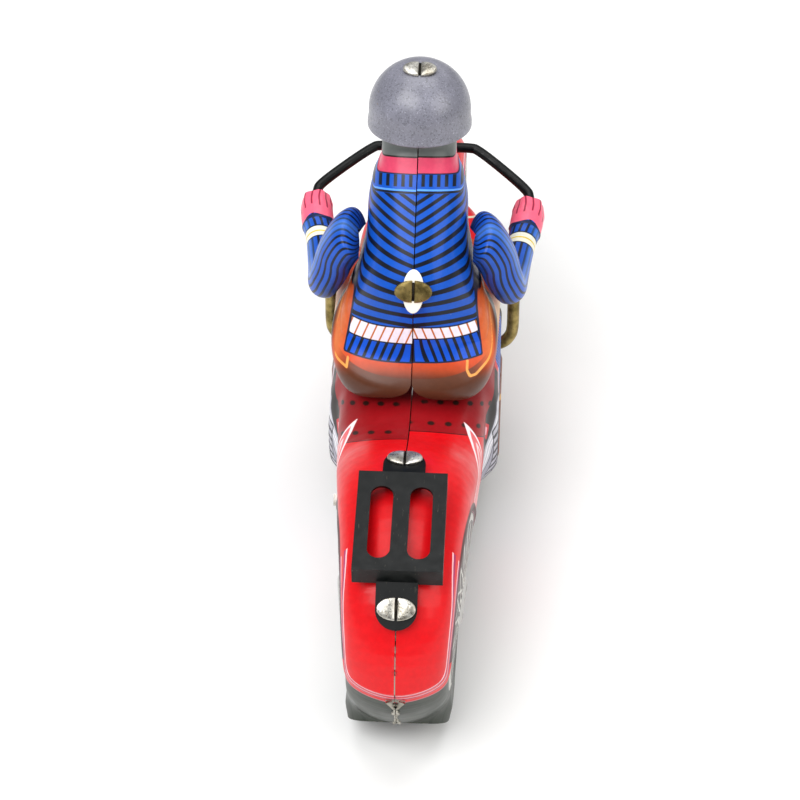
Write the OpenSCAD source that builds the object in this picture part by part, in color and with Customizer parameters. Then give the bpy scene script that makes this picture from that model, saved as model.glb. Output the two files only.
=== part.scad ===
// Tin wind-up motorcycle with its rider, in millimetres.
// +Y is forward, +X is the rider's right, +Z is up, and the tyres stand on Z = 0.

/* [Machine] */
// Half of the length over both mudguards
half_length = 94; // [92:0.5:96]
// Height of the printed wheels' centres
wheel_centre_z = 30; // [29:0.5:31]
// Radius of the rear mudguard over the printed wheel
rear_guard_r = 30; // [29:0.5:30.5]
// Radius of the printed tyre under the rear mudguard
printed_tyre_r = 27; // [26:0.5:27.5]
// Radius of the front mudguard
front_guard_r = 27.5; // [26:0.5:27.5]
// Largest half-width of the engine and the lower legs
engine_half_w = 19.8; // [19.4:0.2:20]
// Thickness of the printed tinplate as modelled
tin = 0.5; // [0.4:0.05:0.6]

/* [Rider] */
// Radius of the cap over the head
helmet_r = 11.4; // [11.3:0.1:11.6]
// Height of the cap's centre
helmet_z = 107.2; // [107:0.1:107.5]
// Half of the width over the hips
hip_half_w = 19; // [18.4:0.1:19.4]

/* [Rolling gear] */
// Radius of the running tyres
tyre_r = 15; // [14.8:0.1:15]
// Radius of the axles
axle_r = 1; // [0.9:0.05:1.1]
// Radial clearance of every running fit
running_fit = 0.06; // [0.04:0.01:0.08]

/* [Wire] */
// Radius of the handlebar wire
bar_wire_r = 1.2; // [1:0.1:1.3]
// Radius of the crash bar wire
crash_wire_r = 1.5; // [1.3:0.1:1.6]

/* [Luggage rack] */
// Width of the rack's plate
rack_w = 19; // [18:0.5:20]
// Length of the rack's plate along its slope
rack_l = 26.2; // [25:0.2:27]

/* [Spring motor] */
// Tooth module of the whole train
tooth_module = 0.6; // [0.58:0.01:0.6]
// Teeth of the great wheel
great_teeth = 48; // [48]
// Teeth of the second wheel
second_teeth = 40; // [40]
// Teeth of the third wheel
third_teeth = 36; // [36]

/* [Hidden] */

$fn = 48;
eps = 0.01;
seam_gap = 0.08;

rear_c = [rear_guard_r - half_length, wheel_centre_z];
front_c = [half_length - front_guard_r, wheel_centre_z];
rear_axle_c = [rear_c[0], tyre_r];
front_axle_c = [front_c[0], tyre_r];

// Steering axis: a raked pin under the nose, whose line passes close to the printed wheel's centre
rake = 24;
steer_top = [52, 59];

// Train centres, each one mesh distance from the one before
pinion_teeth = 12;
small_pinion_teeth = 10;
fly_pinion_teeth = 8;
function pitch_r(teeth) = teeth * tooth_module / 2;
function beside(p, angle, distance) = [p[0] + distance * cos(angle), p[1] + distance * sin(angle)];
second_c = beside(rear_axle_c, 30, pitch_r(second_teeth) + pitch_r(pinion_teeth));
great_c = beside(second_c, 33.5, pitch_r(great_teeth) + pitch_r(small_pinion_teeth));
third_c = beside(second_c, 99.6, pitch_r(second_teeth) + pitch_r(small_pinion_teeth));
fly_c = beside(third_c, 169.5, pitch_r(third_teeth) + pitch_r(fly_pinion_teeth));
plate_x = 6.4;
plate_t = 0.8;

// ---- curves -------------------------------------------------------------------------------

// Catmull-Rom segment through b and c
function segment(a, b, c, d, t) =
    0.5 * (2 * b + (c - a) * t + (2 * a - 5 * b + 4 * c - d) * t * t + (3 * b - a - 3 * c + d) * t * t * t);

// Smooth curve through hand-placed rows, for u from 0 to 1
function curve(rows, u) =
    let (
        last = len(rows) - 1,
        s = min(u * last, last - 0.00001),
        i = floor(s)
    )
    segment(rows[max(i - 1, 0)], rows[i], rows[i + 1], rows[min(i + 2, last)], s - i);

function clamp01(t) = max(0, min(1, t));
function smooth(t) = let (c = clamp01(t)) c * c * (3 - 2 * c);

// Quarter-round roll of a stamped edge: 0 at the seam, 1 one radius away from it
function roll(t) = let (c = 1 - clamp01(t)) sqrt(1 - c * c);

function unit(v) = v / max(norm(v), 0.000001);

function near_segment(p, a, b) =
    let (ab = b - a, t = clamp01((p - a) * ab / (ab * ab)))
    norm(p - a - t * ab);

function seam_distance(p, seam) =
    min([for (i = [0:len(seam) - 2]) near_segment(p, seam[i], seam[i + 1])]);

// ---- sheet metal --------------------------------------------------------------------------

// Inner side of a grid of points, one sheet thickness behind it. turn is 1 or -1.
function inner_grid(g, t, turn, wrap) =
    let (n = len(g), m = len(g[0]))
    [for (i = [0:n - 1]) [for (j = [0:m - 1])
        let (
            before = wrap ? g[(i + n - 1) % n][j] : g[max(i - 1, 0)][j],
            after = wrap ? g[(i + 1) % n][j] : g[min(i + 1, n - 1)][j],
            across = g[i][min(j + 1, m - 1)] - g[i][max(j - 1, 0)],
            p = g[i][j] - turn * t * unit(cross(after - before, across))
        )
        p]];

// Closed solid between a grid and its inner side. wrap joins the last row to the first.
module sheet(g, t, turn = 1, wrap = false, min_x = -1000) {
    n = len(g);
    m = len(g[0]);
    raw = inner_grid(g, t, turn, wrap);
    inside = [for (row = raw) for (p = row) [max(p[0], min_x), p[1], p[2]]];
    outside = [for (row = g) for (p = row) p];
    rows = wrap ? n : n - 1;
    skin = [for (i = [0:rows - 1]) for (j = [0:m - 2])
        let (a = i * m + j, b = ((i + 1) % n) * m + j)
        each [[a, b, b + 1], [a, b + 1, a + 1]]];
    back = [for (f = skin) [f[2] + n * m, f[1] + n * m, f[0] + n * m]];
    edge = concat(
        [for (i = [0:rows - 1]) [i * m, ((i + 1) % n) * m]],
        wrap ? [] : [for (j = [0:m - 2]) [(n - 1) * m + j, (n - 1) * m + j + 1]],
        [for (i = [0:rows - 1]) [((i + 1) % n) * m + m - 1, i * m + m - 1]],
        wrap ? [] : [for (j = [0:m - 2]) [j + 1, j]]);
    rim = [for (e = edge) each [
        [e[1], e[0], e[0] + n * m],
        [e[1], e[0] + n * m, e[1] + n * m]]];
    faces = concat(skin, back, rim);
    turned = turn > 0 ? [for (f = faces) [f[2], f[1], f[0]]] : faces;
    polyhedron(points = concat(outside, inside), faces = turned, convexity = 8);
}

// ---- machine shells -----------------------------------------------------------------------

function on_rear(angle, r) = beside(rear_c, angle, r);

// Rows from the tail to the nose: top seam y and z, lower edge y and z,
// half-width above and half-width at the lower edge
machine_rows = [
    concat(on_rear(176, rear_guard_r), on_rear(187, printed_tyre_r), [9.2, 6.5]),
    concat(on_rear(162, rear_guard_r), on_rear(200, printed_tyre_r), [10, 8.5]),
    concat(on_rear(146, rear_guard_r), on_rear(221, printed_tyre_r), [10.9, 10.4]),
    concat(on_rear(131, rear_guard_r), on_rear(238, printed_tyre_r), [11.8, 11.2]),
    [-75, 57.2, -71, 3.9, 12.5, 11.5],
    [-64, 58.9, -62, 3.1, 13.6, 11.6],
    [-53, 58.6, -52, 5.8, 14.6, 11.8],
    [-43, 55.8, -43.5, 12.5, 15.6, 12],
    [-34, 51.8, -37.5, 17, 16.2, 12.2],
    [-25, 50.3, -30, 12, 16.6, 13],
    [-10, 50.5, -18, 8.5, 17, 14],
    [8, 53, 0, 8, 16.6, 14.5],
    [26, 57.5, 18, 8, 15.8, 14],
    [40, 60, 30, 8.5, 15, 13],
    [46.8, 58.8, 36.5, 10.5, 12.8, 10.5],
    [48.4, 54.8, 37.5, 13.5, 11, 9]
];
machine_cols = 18;
machine_stations = 45;
nose_scoop = 7;

// Side view of a point: straight from the top seam to the lower edge, scooped at the nose
function machine_side(u, v) =
    let (
        r = curve(machine_rows, u),
        scoop = nose_scoop * sin(180 * v) * smooth((u - 0.78) / 0.22)
    )
    [r[0] + (r[2] - r[0]) * v - scoop, r[1] + (r[3] - r[1]) * v];

// The seam that holds the halves together: up the tail from the foot of the printed tyre,
// over the top and down the nose. Below its two ends the halves stand open.
seam_start = 2;
seam_steps = 6;
machine_seam = concat(
    [for (i = [seam_steps:-1:0])
        let (r = curve(machine_rows, seam_start * i / seam_steps / (len(machine_rows) - 1))) [r[2], r[3]]],
    [for (i = [0:machine_stations]) let (r = curve(machine_rows, i / machine_stations)) [r[0], r[1]]],
    [for (j = [1:8]) machine_side(1, j / 8)]);

// Engine and lower leg: one low dome on the side, flat along its crown and gone below the thigh
function engine_dome(p) =
    let (q = 1 - pow((p[0] - 8) / 28, 2) - pow((p[1] - 30) / 23, 2))
    smooth(q * 2) * smooth((46 - p[1]) / 8);

function machine_point(u, v) =
    let (
        p = machine_side(u, v),
        r = curve(machine_rows, u),
        w = r[4] + (r[5] - r[4]) * smooth((v - 0.35) / 0.65),
        roll_r = 8.5 - 2.5 * smooth((0.3 - u) / 0.2),
        full = w + (engine_half_w - w) * engine_dome(p),
        x = full * roll(max(0, seam_distance(p, machine_seam) - 0.02) / roll_r),
        on_seam = u == 0 || u == 1 || v == 0
    )
    [on_seam ? seam_gap : max(x, seam_gap), p[0], p[1]];

// Columns crowd towards both edges, where the roll is
function crowd(t) = t - 0.11 * sin(360 * t);

machine_grid = [for (i = [0:machine_stations]) [for (j = [0:machine_cols])
    machine_point(i / machine_stations, crowd(j / machine_cols))]];

keyhole_r = 3.4;
crash_y = 33.5;
crash_low_z = 21;
crash_top_z = 49;

module machine_half() {
    difference() {
        sheet(machine_grid, tin, -1, false, seam_gap / 4);
        for (z = [crash_low_z, crash_top_z])
            translate([0.5, crash_y, z])
                rotate([0, 90, 0])
                    cylinder(r = crash_wire_r + 0.3, h = 24.5);
        on_steering(0)
            translate([-6, -12, -0.4])
                cube([12, 16, 1.8]);
    }
}

module body_shell_right() {
    color("#e0101c")
        machine_half();
}

module body_shell_left() {
    color("#e0101c")
        difference() {
            mirror([1, 0, 0])
                machine_half();
            translate([-25, great_c[0], great_c[1]])
                rotate([0, 90, 0])
                    cylinder(r = keyhole_r, h = 17);
        }
}

// ---- rider shells -------------------------------------------------------------------------

// Rows from the crown down the trunk and along the thigh to the knee:
// back edge y and z, front edge y and z, half-width, then each edge's own distance from the seam
rider_rows = [
    [11, 117.2, 16, 117.2, 3.2, 0, 0],
    [7, 115, 19.4, 115, 6.2, 0, 0],
    [4.2, 110.5, 22.4, 110.5, 9, 0, 0],
    [4.3, 105.4, 22.3, 104, 9.2, 0, 0],
    [5, 101.5, 21, 98.6, 8.4, 0, 0],
    [1.6, 98, 18.6, 94, 8.6, 0, 0],
    [-1.4, 95, 19.6, 89.6, 10, 0, 0],
    [-6.2, 89.5, 22, 84, 11.2, 0, 0],
    [-11.6, 83, 22.6, 77, 11.5, 0, 0],
    [-15.4, 76.8, 20.4, 72, 12.7, 0, 0],
    [-16.7, 69.5, 15.6, 69, 14.2, 0, 0],
    [-18.6, 61.5, 9.5, 67, 16.6, 0, 0],
    [-23.8, 55.2, 6.5, 65.5, hip_half_w - 0.2, 1, 1],
    [-20.6, 50.6, 9, 64, hip_half_w, 10, 6],
    [-10, 47.6, 13, 62.4, hip_half_w + 0.2, 15.6, 11.5],
    [3, 46, 19, 60.4, hip_half_w + 0.3, 16.6, 14],
    [15, 44.6, 25, 56.4, hip_half_w, 16.8, 15],
    [22, 45.5, 28, 51, 17.8, 17, 16]
];
rider_cols = 14;
rider_stations = 44;

function rider_point(i, j) =
    let (
        u = i / rider_stations,
        v = crowd(j / rider_cols),
        r = curve(rider_rows, u),
        low = max(0, r[5]) * (1 - v) + max(0, r[6]) * v,
        round_off = pow(1 - pow(abs(2 * v - 1), 2.4), 1 / 2.4),
        ends = i == 0 || i == rider_stations ? 0 : 1,
        x = low + (r[4] - low) * round_off * ends
    )
    [max(x, seam_gap), r[0] + (r[2] - r[0]) * v, r[1] + (r[3] - r[1]) * v];

rider_grid = [for (i = [0:rider_stations]) [for (j = [0:rider_cols]) rider_point(i, j)]];

module rider_half() {
    sheet(rider_grid, tin, 1, false, seam_gap / 4);
}

module rider_shell_right() {
    color("#1460e6")
        rider_half();
}

module rider_shell_left() {
    color("#1460e6")
        mirror([1, 0, 0])
            rider_half();
}

// Rows from the trunk over the elbow to the knuckles: centre, radius along the side, radius outwards
arm_rows = [
    [13.2, 1.2, 81.4, 7, 4.3],
    [15.1, 1.5, 79.8, 7.4, 4.9],
    [17.7, 1.8, 74.8, 6.8, 4.9],
    [19.6, 1.8, 69, 5.6, 4.6],
    [20.9, 4, 64.8, 4.7, 4.2],
    [21.9, 10, 63, 4, 3.8],
    [23, 17, 63, 3.6, 3.5],
    [24, 22, 63.4, 3.5, 3.3],
    [24.7, 26, 64.2, 4, 3.6],
    [25.3, 30, 65.2, 3.9, 3.6],
    [25.6, 32.8, 66, 3.3, 3.1]
];
arm_cols = 12;
arm_stations = 26;
arm_open = 50;
arm_up = [0.7071, 0, 0.7071];

// Open channel: the section runs round the outer side and leaves a gap down and inwards
function arm_point(u, v) =
    let (
        r = curve(arm_rows, u),
        a = curve(arm_rows, max(0, u - 0.02)),
        b = curve(arm_rows, min(1, u + 0.02)),
        along = unit([b[0] - a[0], b[1] - a[1], b[2] - a[2]]),
        outward = unit(arm_up - (arm_up * along) * along),
        side = cross(along, outward),
        angle = 180 + arm_open + (360 - 2 * arm_open) * v
    )
    [r[0], r[1], r[2]] + r[4] * cos(angle) * outward + r[3] * sin(angle) * side;

arm_grid = [for (i = [0:arm_stations]) [for (j = [0:arm_cols])
    arm_point(i / arm_stations, j / arm_cols)]];

module arm_right() {
    color("#2a62c8")
        sheet(arm_grid, tin, 1);
}

module arm_left() {
    color("#2a62c8")
        mirror([1, 0, 0])
            sheet(arm_grid, tin, 1);
}

// ---- cap and clips ------------------------------------------------------------------------

helmet_y = 13;
helmet_lean = 8;
helmet_drop = 3.9;

module helmet() {
    color("#8a8a94")
        translate([0, helmet_y, helmet_z])
            rotate([-helmet_lean, 0, 0])
                rotate_extrude($fn = 96)
                    difference() {
                        union() {
                            intersection() {
                                circle(r = helmet_r, $fn = 96);
                                square([helmet_r, helmet_r]);
                            }
                            translate([0, -helmet_drop])
                                square([helmet_r, helmet_drop]);
                            translate([helmet_r - 0.5, -helmet_drop])
                                square([0.7, 1]);
                        }
                        circle(r = helmet_r - tin, $fn = 96);
                        translate([0, -5])
                            square([helmet_r - tin, 5]);
                    }
}

// Split clip: two flattened lobes over a slot, and the stem that passes through the seam
module clip(p, tilt, lobe, lift) {
    translate([0, p[0], p[1]])
        rotate([tilt, 0, 0])
            translate([0, 0, lift]) {
                for (side = [-1, 1])
                    translate([side * lobe * 0.45, 0, 0])
                        difference() {
                            union() {
                                cylinder(r = lobe * 0.55, h = 0.5);
                                translate([-side * lobe * 0.2, 0, 0.25])
                                    cube([lobe * 0.5, lobe * 1.15, 0.5], center = true);
                            }
                            translate([-side * lobe * 0.45 - 0.25, -lobe, -1])
                                cube([0.5, 2 * lobe, 3]);
                        }
            }
}

helmet_tab_tilt = 7;

module helmet_tab() {
    color("#d8d8d0")
        clip([helmet_y - helmet_r * sin(helmet_tab_tilt), helmet_z + helmet_r * cos(helmet_tab_tilt)],
            helmet_tab_tilt, 3.7, 0.15);
}

back_tab_p = [-15.1, 77.6];
back_tilt = 62;

module back_washer() {
    color("#f0f0ec")
        translate([0, back_tab_p[0], back_tab_p[1]])
            rotate([back_tilt, 0, 0])
                translate([0, 0, 0.3])
                    difference() {
                        linear_extrude(0.4)
                            union() {
                                translate([0, 2.6])
                                    circle(r = 2.4);
                                translate([0, -2.6])
                                    circle(r = 2.4);
                                square([4.8, 5.2], center = true);
                            }
                        translate([-0.35, -3.2, -1])
                            cube([0.7, 6.4, 3]);
                    }
}

module back_tab() {
    color("#7a6b3e")
        clip(back_tab_p, back_tilt, 4.2, 0.85);
}

// ---- luggage rack -------------------------------------------------------------------------

rack_front = [-57.8, 62.8];
rack_slope = 7.7;
rack_t = 0.6;
rack_flange = 4;
rack_slot_w = 4.8;
rack_slot_l = 19;
rack_slot_x = 4.2;

module luggage_rack() {
    color("#1a2420")
        translate([0, rack_front[0], rack_front[1]])
            rotate([rack_slope, 0, 0]) {
                difference() {
                    translate([-rack_w / 2, -rack_l, -rack_t])
                        cube([rack_w, rack_l, rack_t]);
                    for (side = [-1, 1])
                        translate([side * rack_slot_x, -rack_l / 2 - 0.4, -2])
                            linear_extrude(4)
                                union() {
                                    square([rack_slot_w, rack_slot_l - rack_slot_w], center = true);
                                    for (e = [-1, 1])
                                        translate([0, e * (rack_slot_l - rack_slot_w) / 2])
                                            circle(d = rack_slot_w);
                                }
                }
                for (side = [-1, 1])
                    translate([side * (rack_w / 2 - rack_t / 2), -rack_l / 2, -rack_flange / 2 - rack_t + eps])
                        cube([rack_t, rack_l, rack_flange], center = true);
                translate([-rack_w / 2, -rack_l, -rack_flange - rack_t])
                    cube([rack_w, rack_t, rack_flange + rack_t]);
                translate([-4.6, -rack_t, -2.4])
                    cube([9.2, rack_t, 2.4]);
                // front ear, bent forward on to the seam
                translate([0, -rack_t, -2.4])
                    rotate([-12, 0, 0])
                        linear_extrude(rack_t)
                            union() {
                                translate([-4.6, 0])
                                    square([9.2, 5]);
                                translate([0, 5])
                                    circle(r = 4.6);
                            }
                // rear ear, bent down along the mudguard
                translate([0, -rack_l + rack_t, -rack_flange - rack_t + 0.3])
                    rotate([37, 0, 0])
                        linear_extrude(rack_t)
                            union() {
                                translate([-4.4, -6])
                                    square([8.8, 6]);
                                translate([0, -6])
                                    circle(r = 4.4);
                            }
            }
}

module rack_front_tab() {
    color("#e8e8e0")
        clip([-51.2, 60.5], -5, 3.8, 0.25);
}

module rack_rear_tab() {
    color("#e8e8e0")
        clip([-87.4, 51.6], 44.7, 4.1, 0.35);
}

// ---- bent wire ----------------------------------------------------------------------------

// Round wire along a path of points that lie near one plane with the given normal
module tube(path, r, normal, sides = 10) {
    n = len(path);
    rings = [for (i = [0:n - 1])
        let (
            along = unit(path[min(i + 1, n - 1)] - path[max(i - 1, 0)]),
            side = unit(cross(along, normal)),
            up = cross(side, along)
        )
        for (k = [0:sides - 1])
            path[i] + r * (cos(360 * k / sides) * side + sin(360 * k / sides) * up)];
    walls = [for (i = [0:n - 2]) for (k = [0:sides - 1])
        let (a = i * sides + k, b = i * sides + (k + 1) % sides)
        each [[a, b, b + sides], [a, b + sides, a + sides]]];
    caps = [[for (k = [sides - 1:-1:0]) k], [for (k = [0:sides - 1]) (n - 1) * sides + k]];
    polyhedron(points = rings, faces = concat(walls, caps), convexity = 6);
}

// Both halves of a symmetrical wire, smoothed through the points of its right half
function mirrored(rows) = concat(
    [for (i = [len(rows) - 1:-1:1]) [-rows[i][0], rows[i][1], rows[i][2]]], rows);
function smooth_path(rows, steps) = [for (i = [0:steps]) curve(rows, i / steps)];

bar_y = 47;
bar_z = 71.6;
bar_right = [
    [0, bar_y, bar_z], [5, bar_y, bar_z], [10.6, bar_y, bar_z], [13, bar_y - 0.8, bar_z - 0.3],
    [18.6, 41.8, 69.6], [24.2, 36.8, 67.6], [25.4, 34.6, 66.6], [25.8, 29.6, 64.8]
];

module handlebar() {
    color("#151a18")
        tube(smooth_path(mirrored(bar_right), 50), bar_wire_r, [0, -0.5, 0.87]);
}

bracket_w = 9;

module bar_bracket() {
    color("#1a2420")
        difference() {
            union() {
                translate([0, bar_y, bar_z])
                    rotate([0, 90, 0])
                        cylinder(r = bar_wire_r + 0.8, h = bracket_w, center = true);
                translate([-bracket_w / 2, bar_y - 0.4, 61])
                    cube([bracket_w, 0.8, bar_z - 62.6]);
                translate([-bracket_w / 2, bar_y - 8.4, 60.3])
                    cube([bracket_w, 8.8, 0.8]);
                translate([0, bar_y, lamp_z])
                    rotate([-90, 0, 0])
                        cylinder(r = 2.2, h = lamp_y - bar_y - 0.2);
            }
            translate([0, bar_y, bar_z])
                rotate([0, 90, 0])
                    cylinder(r = bar_wire_r + 0.1, h = bracket_w + 2, center = true);
        }
}

crash_x = 22.6;
crash_right = [
    [0, crash_y, crash_low_z], [17, crash_y, crash_low_z], [20.2, crash_y, crash_low_z + 0.9],
    [22, crash_y, crash_low_z + 3.2], [crash_x, crash_y, crash_low_z + 6.2],
    [crash_x, crash_y, crash_top_z - 5.4], [21.8, crash_y, crash_top_z - 2.4],
    [19.6, crash_y, crash_top_z - 0.4], [17, crash_y, crash_top_z], [10.5, crash_y, crash_top_z]
];

module crash_bar() {
    color("#a8985a")
        tube(smooth_path(mirrored(crash_right), 72), crash_wire_r, [0, 1, 0]);
}

// ---- headlamp -----------------------------------------------------------------------------

lamp_y = 51.6;
lamp_z = 68.2;
lamp_r = 6.4;

module headlamp_shell() {
    color("#8d949a")
        translate([0, lamp_y, lamp_z])
            rotate([-90, 0, 0])
                rotate_extrude()
                    difference() {
                        union() {
                            intersection() {
                                translate([0, 6.4])
                                    circle(r = lamp_r);
                                square([lamp_r, 6.4]);
                            }
                            translate([0, 6.3])
                                square([lamp_r, 2.7]);
                            translate([0, 8])
                                square([lamp_r + 0.7, 1.4]);
                        }
                        intersection() {
                            translate([0, 6.4])
                                circle(r = lamp_r - 0.6);
                            square([lamp_r, 6.4]);
                        }
                        translate([0, 6.3])
                            square([lamp_r - 0.6, 4]);
                    }
}

module headlamp_lens() {
    color("#f4f2e4")
        translate([0, lamp_y + 7.4, lamp_z])
            rotate([-90, 0, 0])
                rotate_extrude()
                    union() {
                        square([lamp_r - 0.7, 1]);
                        intersection() {
                            translate([0, -9.4])
                                circle(r = 12);
                            square([lamp_r - 0.9, 3]);
                        }
                    }
}

// ---- steering -----------------------------------------------------------------------------

// Places a child with its Z along the steering axis, its origin a distance s down the axis
module on_steering(s) {
    translate([0, steer_top[0], steer_top[1]])
        rotate([rake, 0, 0])
            translate([0, 0, -s])
                children();
}

pin_r = 1.5;

module steering_plate() {
    color("#9a9a94")
        difference() {
            on_steering(0)
                union() {
                    translate([-5.5, -9, 0])
                        cube([11, 11.2, 1]);
                }
            on_steering(2)
                cylinder(r = pin_r + running_fit, h = 6);
        }
}

module steering_pin() {
    color("#c8c8c0")
        on_steering(5.6)
            union() {
                cylinder(r = pin_r, h = 7.6);
                cylinder(r = pin_r + 1, h = 0.8);
                translate([0, 0, 7.2])
                    cylinder(r = pin_r + 1.2, h = 0.8);
            }
}

// Steering range is a few degrees each way, so the guard keeps this far from the nose
fork_half_w = 8.6;
fork_roll = 5;
fork_cols = 12;
fork_stations = 40;

// Outline radius of the front stamping: a circle with a low neck under the steering plate
function fork_outline(angle) = front_guard_r + 2 * exp(-pow((angle - 117) / 13, 2));

// 1 where the stamping is open below for the running wheel
function fork_open(angle) = smooth((48 - abs(angle - 270)) / 10);

function fork_point(angle, v) =
    let (
        edge = fork_outline(angle),
        hole = axle_r + 1,
        r = hole + (edge - hole) * (1 - pow(v, 1.5)),
        hub = 1.2 * smooth((7 - r) / 4),
        tyre = 0.7 * smooth((4 - abs(r - 20)) / 3),
        t = (edge - r) / fork_roll + fork_open(angle),
        x = (fork_half_w + hub + tyre) * roll(t)
    )
    [max(x, seam_gap), front_c[0] + r * cos(angle), front_c[1] + r * sin(angle)];

fork_grid = [for (i = [0:fork_stations - 1]) [for (j = [0:fork_cols])
    fork_point(360 * i / fork_stations, 1 - j / fork_cols)]];

module fork_half() {
    difference() {
        sheet(fork_grid, tin, 1, true, seam_gap / 4);
        across(front_axle_c, 4)
            cylinder(r = axle_r + 0.05, h = 8);
        on_steering(7)
            cylinder(r = pin_r + 1.2, h = 4);
        on_steering(4)
            cylinder(r = pin_r + 0.2, h = 8);
    }
}

module fork_right() {
    color("#d81420")
        fork_half();
}

module fork_left() {
    color("#d81420")
        mirror([1, 0, 0])
            fork_half();
}

module fork_crown() {
    color("#9a9a94")
        on_steering(1.3)
            difference() {
                translate([-4, -4, 0])
                    cube([8, 8, 0.8]);
                translate([0, 0, -1])
                    cylinder(r = pin_r, h = 3);
            }
}

// ---- running wheels -----------------------------------------------------------------------

// Places a child's Z along X at a point of the side view, starting from x
module across(p, x) {
    translate([x, p[0], p[1]])
        rotate([90, 0, 90])
            children();
}

hub_r = 10.8;
rear_wheel_x = 7.5;
rear_wheel_w = 2.6;
front_wheel_w = 6.6;

// Turned hub with a dished web
module hub(bore, w) {
    rotate_extrude()
        difference() {
            translate([bore, -w / 2])
                square([hub_r - bore, w]);
            for (side = [-1, 1])
                translate([3.4, side * w / 2 - w * 0.22])
                    square([hub_r - 5.2, w * 0.44]);
        }
}

module tyre(w) {
    rotate_extrude($fn = 96)
        difference() {
            translate([hub_r, -w / 2])
                square([tyre_r - hub_r, w]);
            for (side = [-1, 1])
                translate([tyre_r, side * w / 2])
                    rotate(45)
                        square(w * 0.3, center = true);
        }
}

module front_axle() {
    color("#c8c8c0")
        across(front_axle_c, -10.8)
            union() {
                cylinder(r = axle_r, h = 21.6);
                translate([0, 0, -0.4])
                    cylinder(r = axle_r + 0.9, h = 0.8);
                translate([0, 0, 21.2])
                    cylinder(r = axle_r + 0.9, h = 0.8);
            }
}

module front_wheel() {
    color("#b8bcc0")
        across(front_axle_c, 0)
            hub(axle_r + running_fit, front_wheel_w - 0.6);
}

module front_tyre() {
    color("#2a2a2a")
        across(front_axle_c, 0)
            tyre(front_wheel_w);
}

module rear_hub(side) {
    color("#b8bcc0")
        across(rear_axle_c, side * (rear_wheel_x + rear_wheel_w / 2))
            hub(axle_r, rear_wheel_w - 0.4);
}

module rear_tyre(side) {
    color("#2a2a2a")
        across(rear_axle_c, side * (rear_wheel_x + rear_wheel_w / 2))
            tyre(rear_wheel_w);
}

module rear_axle() {
    color("#c8c8c0")
        across(rear_axle_c, -10.5)
            cylinder(r = axle_r, h = 21);
}

// ---- spring motor -------------------------------------------------------------------------

arbor_r = 1.9;
pivot_r = 0.9;
plate_outline = [
    [-70, 12], [-62, 10.5], [-48, 17], [-38, 20], [-26, 20], [-17.5, 21], [-17, 44],
    [-30, 46.5], [-42, 50.5], [-50, 50], [-68, 46], [-72, 40], [-71.5, 25]
];

module movement_plate(x) {
    color("#b8a878")
        difference() {
            across([0, 0], x)
                linear_extrude(plate_t)
                    polygon(plate_outline);
            across(rear_axle_c, -10)
                cylinder(r = axle_r + running_fit, h = 20);
            across(great_c, -10)
                cylinder(r = arbor_r + running_fit, h = 20);
            for (p = [second_c, third_c, fly_c])
                across(p, -10)
                    cylinder(r = pivot_r + running_fit, h = 20);
        }
}

// Distance posts between the plates, and how far each one's stud reaches out to the shells
posts = [[-69.6, 31.6, 11.2], [-44.5, 47.5, 13.6], [-21, 24, 14.4], [-20, 41.5, 15]];
post_r = 1.5;

module movement_pillars() {
    color("#c8c8c0")
        for (p = posts)
            across(p, eps - plate_x)
                cylinder(r = post_r, h = 2 * (plate_x - eps));
}

module side_studs() {
    color("#c8c8c0")
        for (p = posts)
            for (side = [0, 1])
                mirror([side, 0, 0])
                    across(p, plate_x + plate_t + eps)
                        cylinder(r = post_r, h = p[2] - plate_x - plate_t);
}

// Straight-flanked tooth, cut slim so that the train runs free
module gear(teeth, w, phase, bore = 0) {
    r = pitch_r(teeth);
    pitch = 360 / teeth;
    m = tooth_module;
    linear_extrude(w)
        difference() {
            polygon([for (i = [0:teeth - 1])
                for (k = [[-0.27, -1.1], [-0.07, 0.78], [0.07, 0.78], [0.27, -1.1]])
                    let (a = phase + pitch * (i + k[0]), q = r + m * k[1])
                    [q * cos(a), q * sin(a)]]);
            if (bore > 0)
                circle(r = bore);
        }
}

// Turns a follower's teeth so that they stand between those of the gear it meets
function mesh_phase(phase, teeth, follower, angle) =
    angle + 180 + 180 / follower + (angle - phase) * teeth / follower;

function angle_to(a, b) = atan2(b[1] - a[1], b[0] - a[0]);

second_phase = 210;
great_phase = mesh_phase(0, small_pinion_teeth, great_teeth, angle_to(second_c, great_c));
third_phase = mesh_phase(second_phase, second_teeth, small_pinion_teeth, angle_to(second_c, third_c));
axle_phase = mesh_phase(second_phase, second_teeth, pinion_teeth, angle_to(second_c, rear_axle_c));
fly_phase = mesh_phase(0, third_teeth, fly_pinion_teeth, angle_to(third_c, fly_c));

great_x = -5.2;
gear_t = 1;
second_x = 3.6;

module great_wheel() {
    color("#c9a85a")
        across(great_c, great_x)
            difference() {
                gear(great_teeth, gear_t, great_phase, arbor_r + running_fit);
                for (a = [0:90:270])
                    rotate(a + 45)
                        translate([8.6, 0, -1])
                            cylinder(r = 2.6, h = 3);
            }
}

ratchet_teeth = 12;
ratchet_r = 4.6;

module ratchet_wheel() {
    color("#8d949a")
        across(great_c, great_x - 0.9)
            linear_extrude(0.8)
                difference() {
                    polygon([for (i = [0:ratchet_teeth - 1])
                        for (k = [[0, ratchet_r], [0.86, ratchet_r - 1]])
                            let (a = 360 * (i + k[0]) / ratchet_teeth)
                            [k[1] * cos(a), k[1] * sin(a)]]);
                    circle(r = arbor_r);
                }
}

click_a = 62;

module click() {
    color("#8d949a")
        across(great_c, great_x - 0.9)
            rotate(click_a)
                linear_extrude(0.8)
                    union() {
                        translate([7.4, 3])
                            circle(r = 1);
                        polygon([[6.6, 3.5], [8.2, 3.2], [6.2, -0.9], [5.1, -0.6]]);
                    }
}

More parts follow.
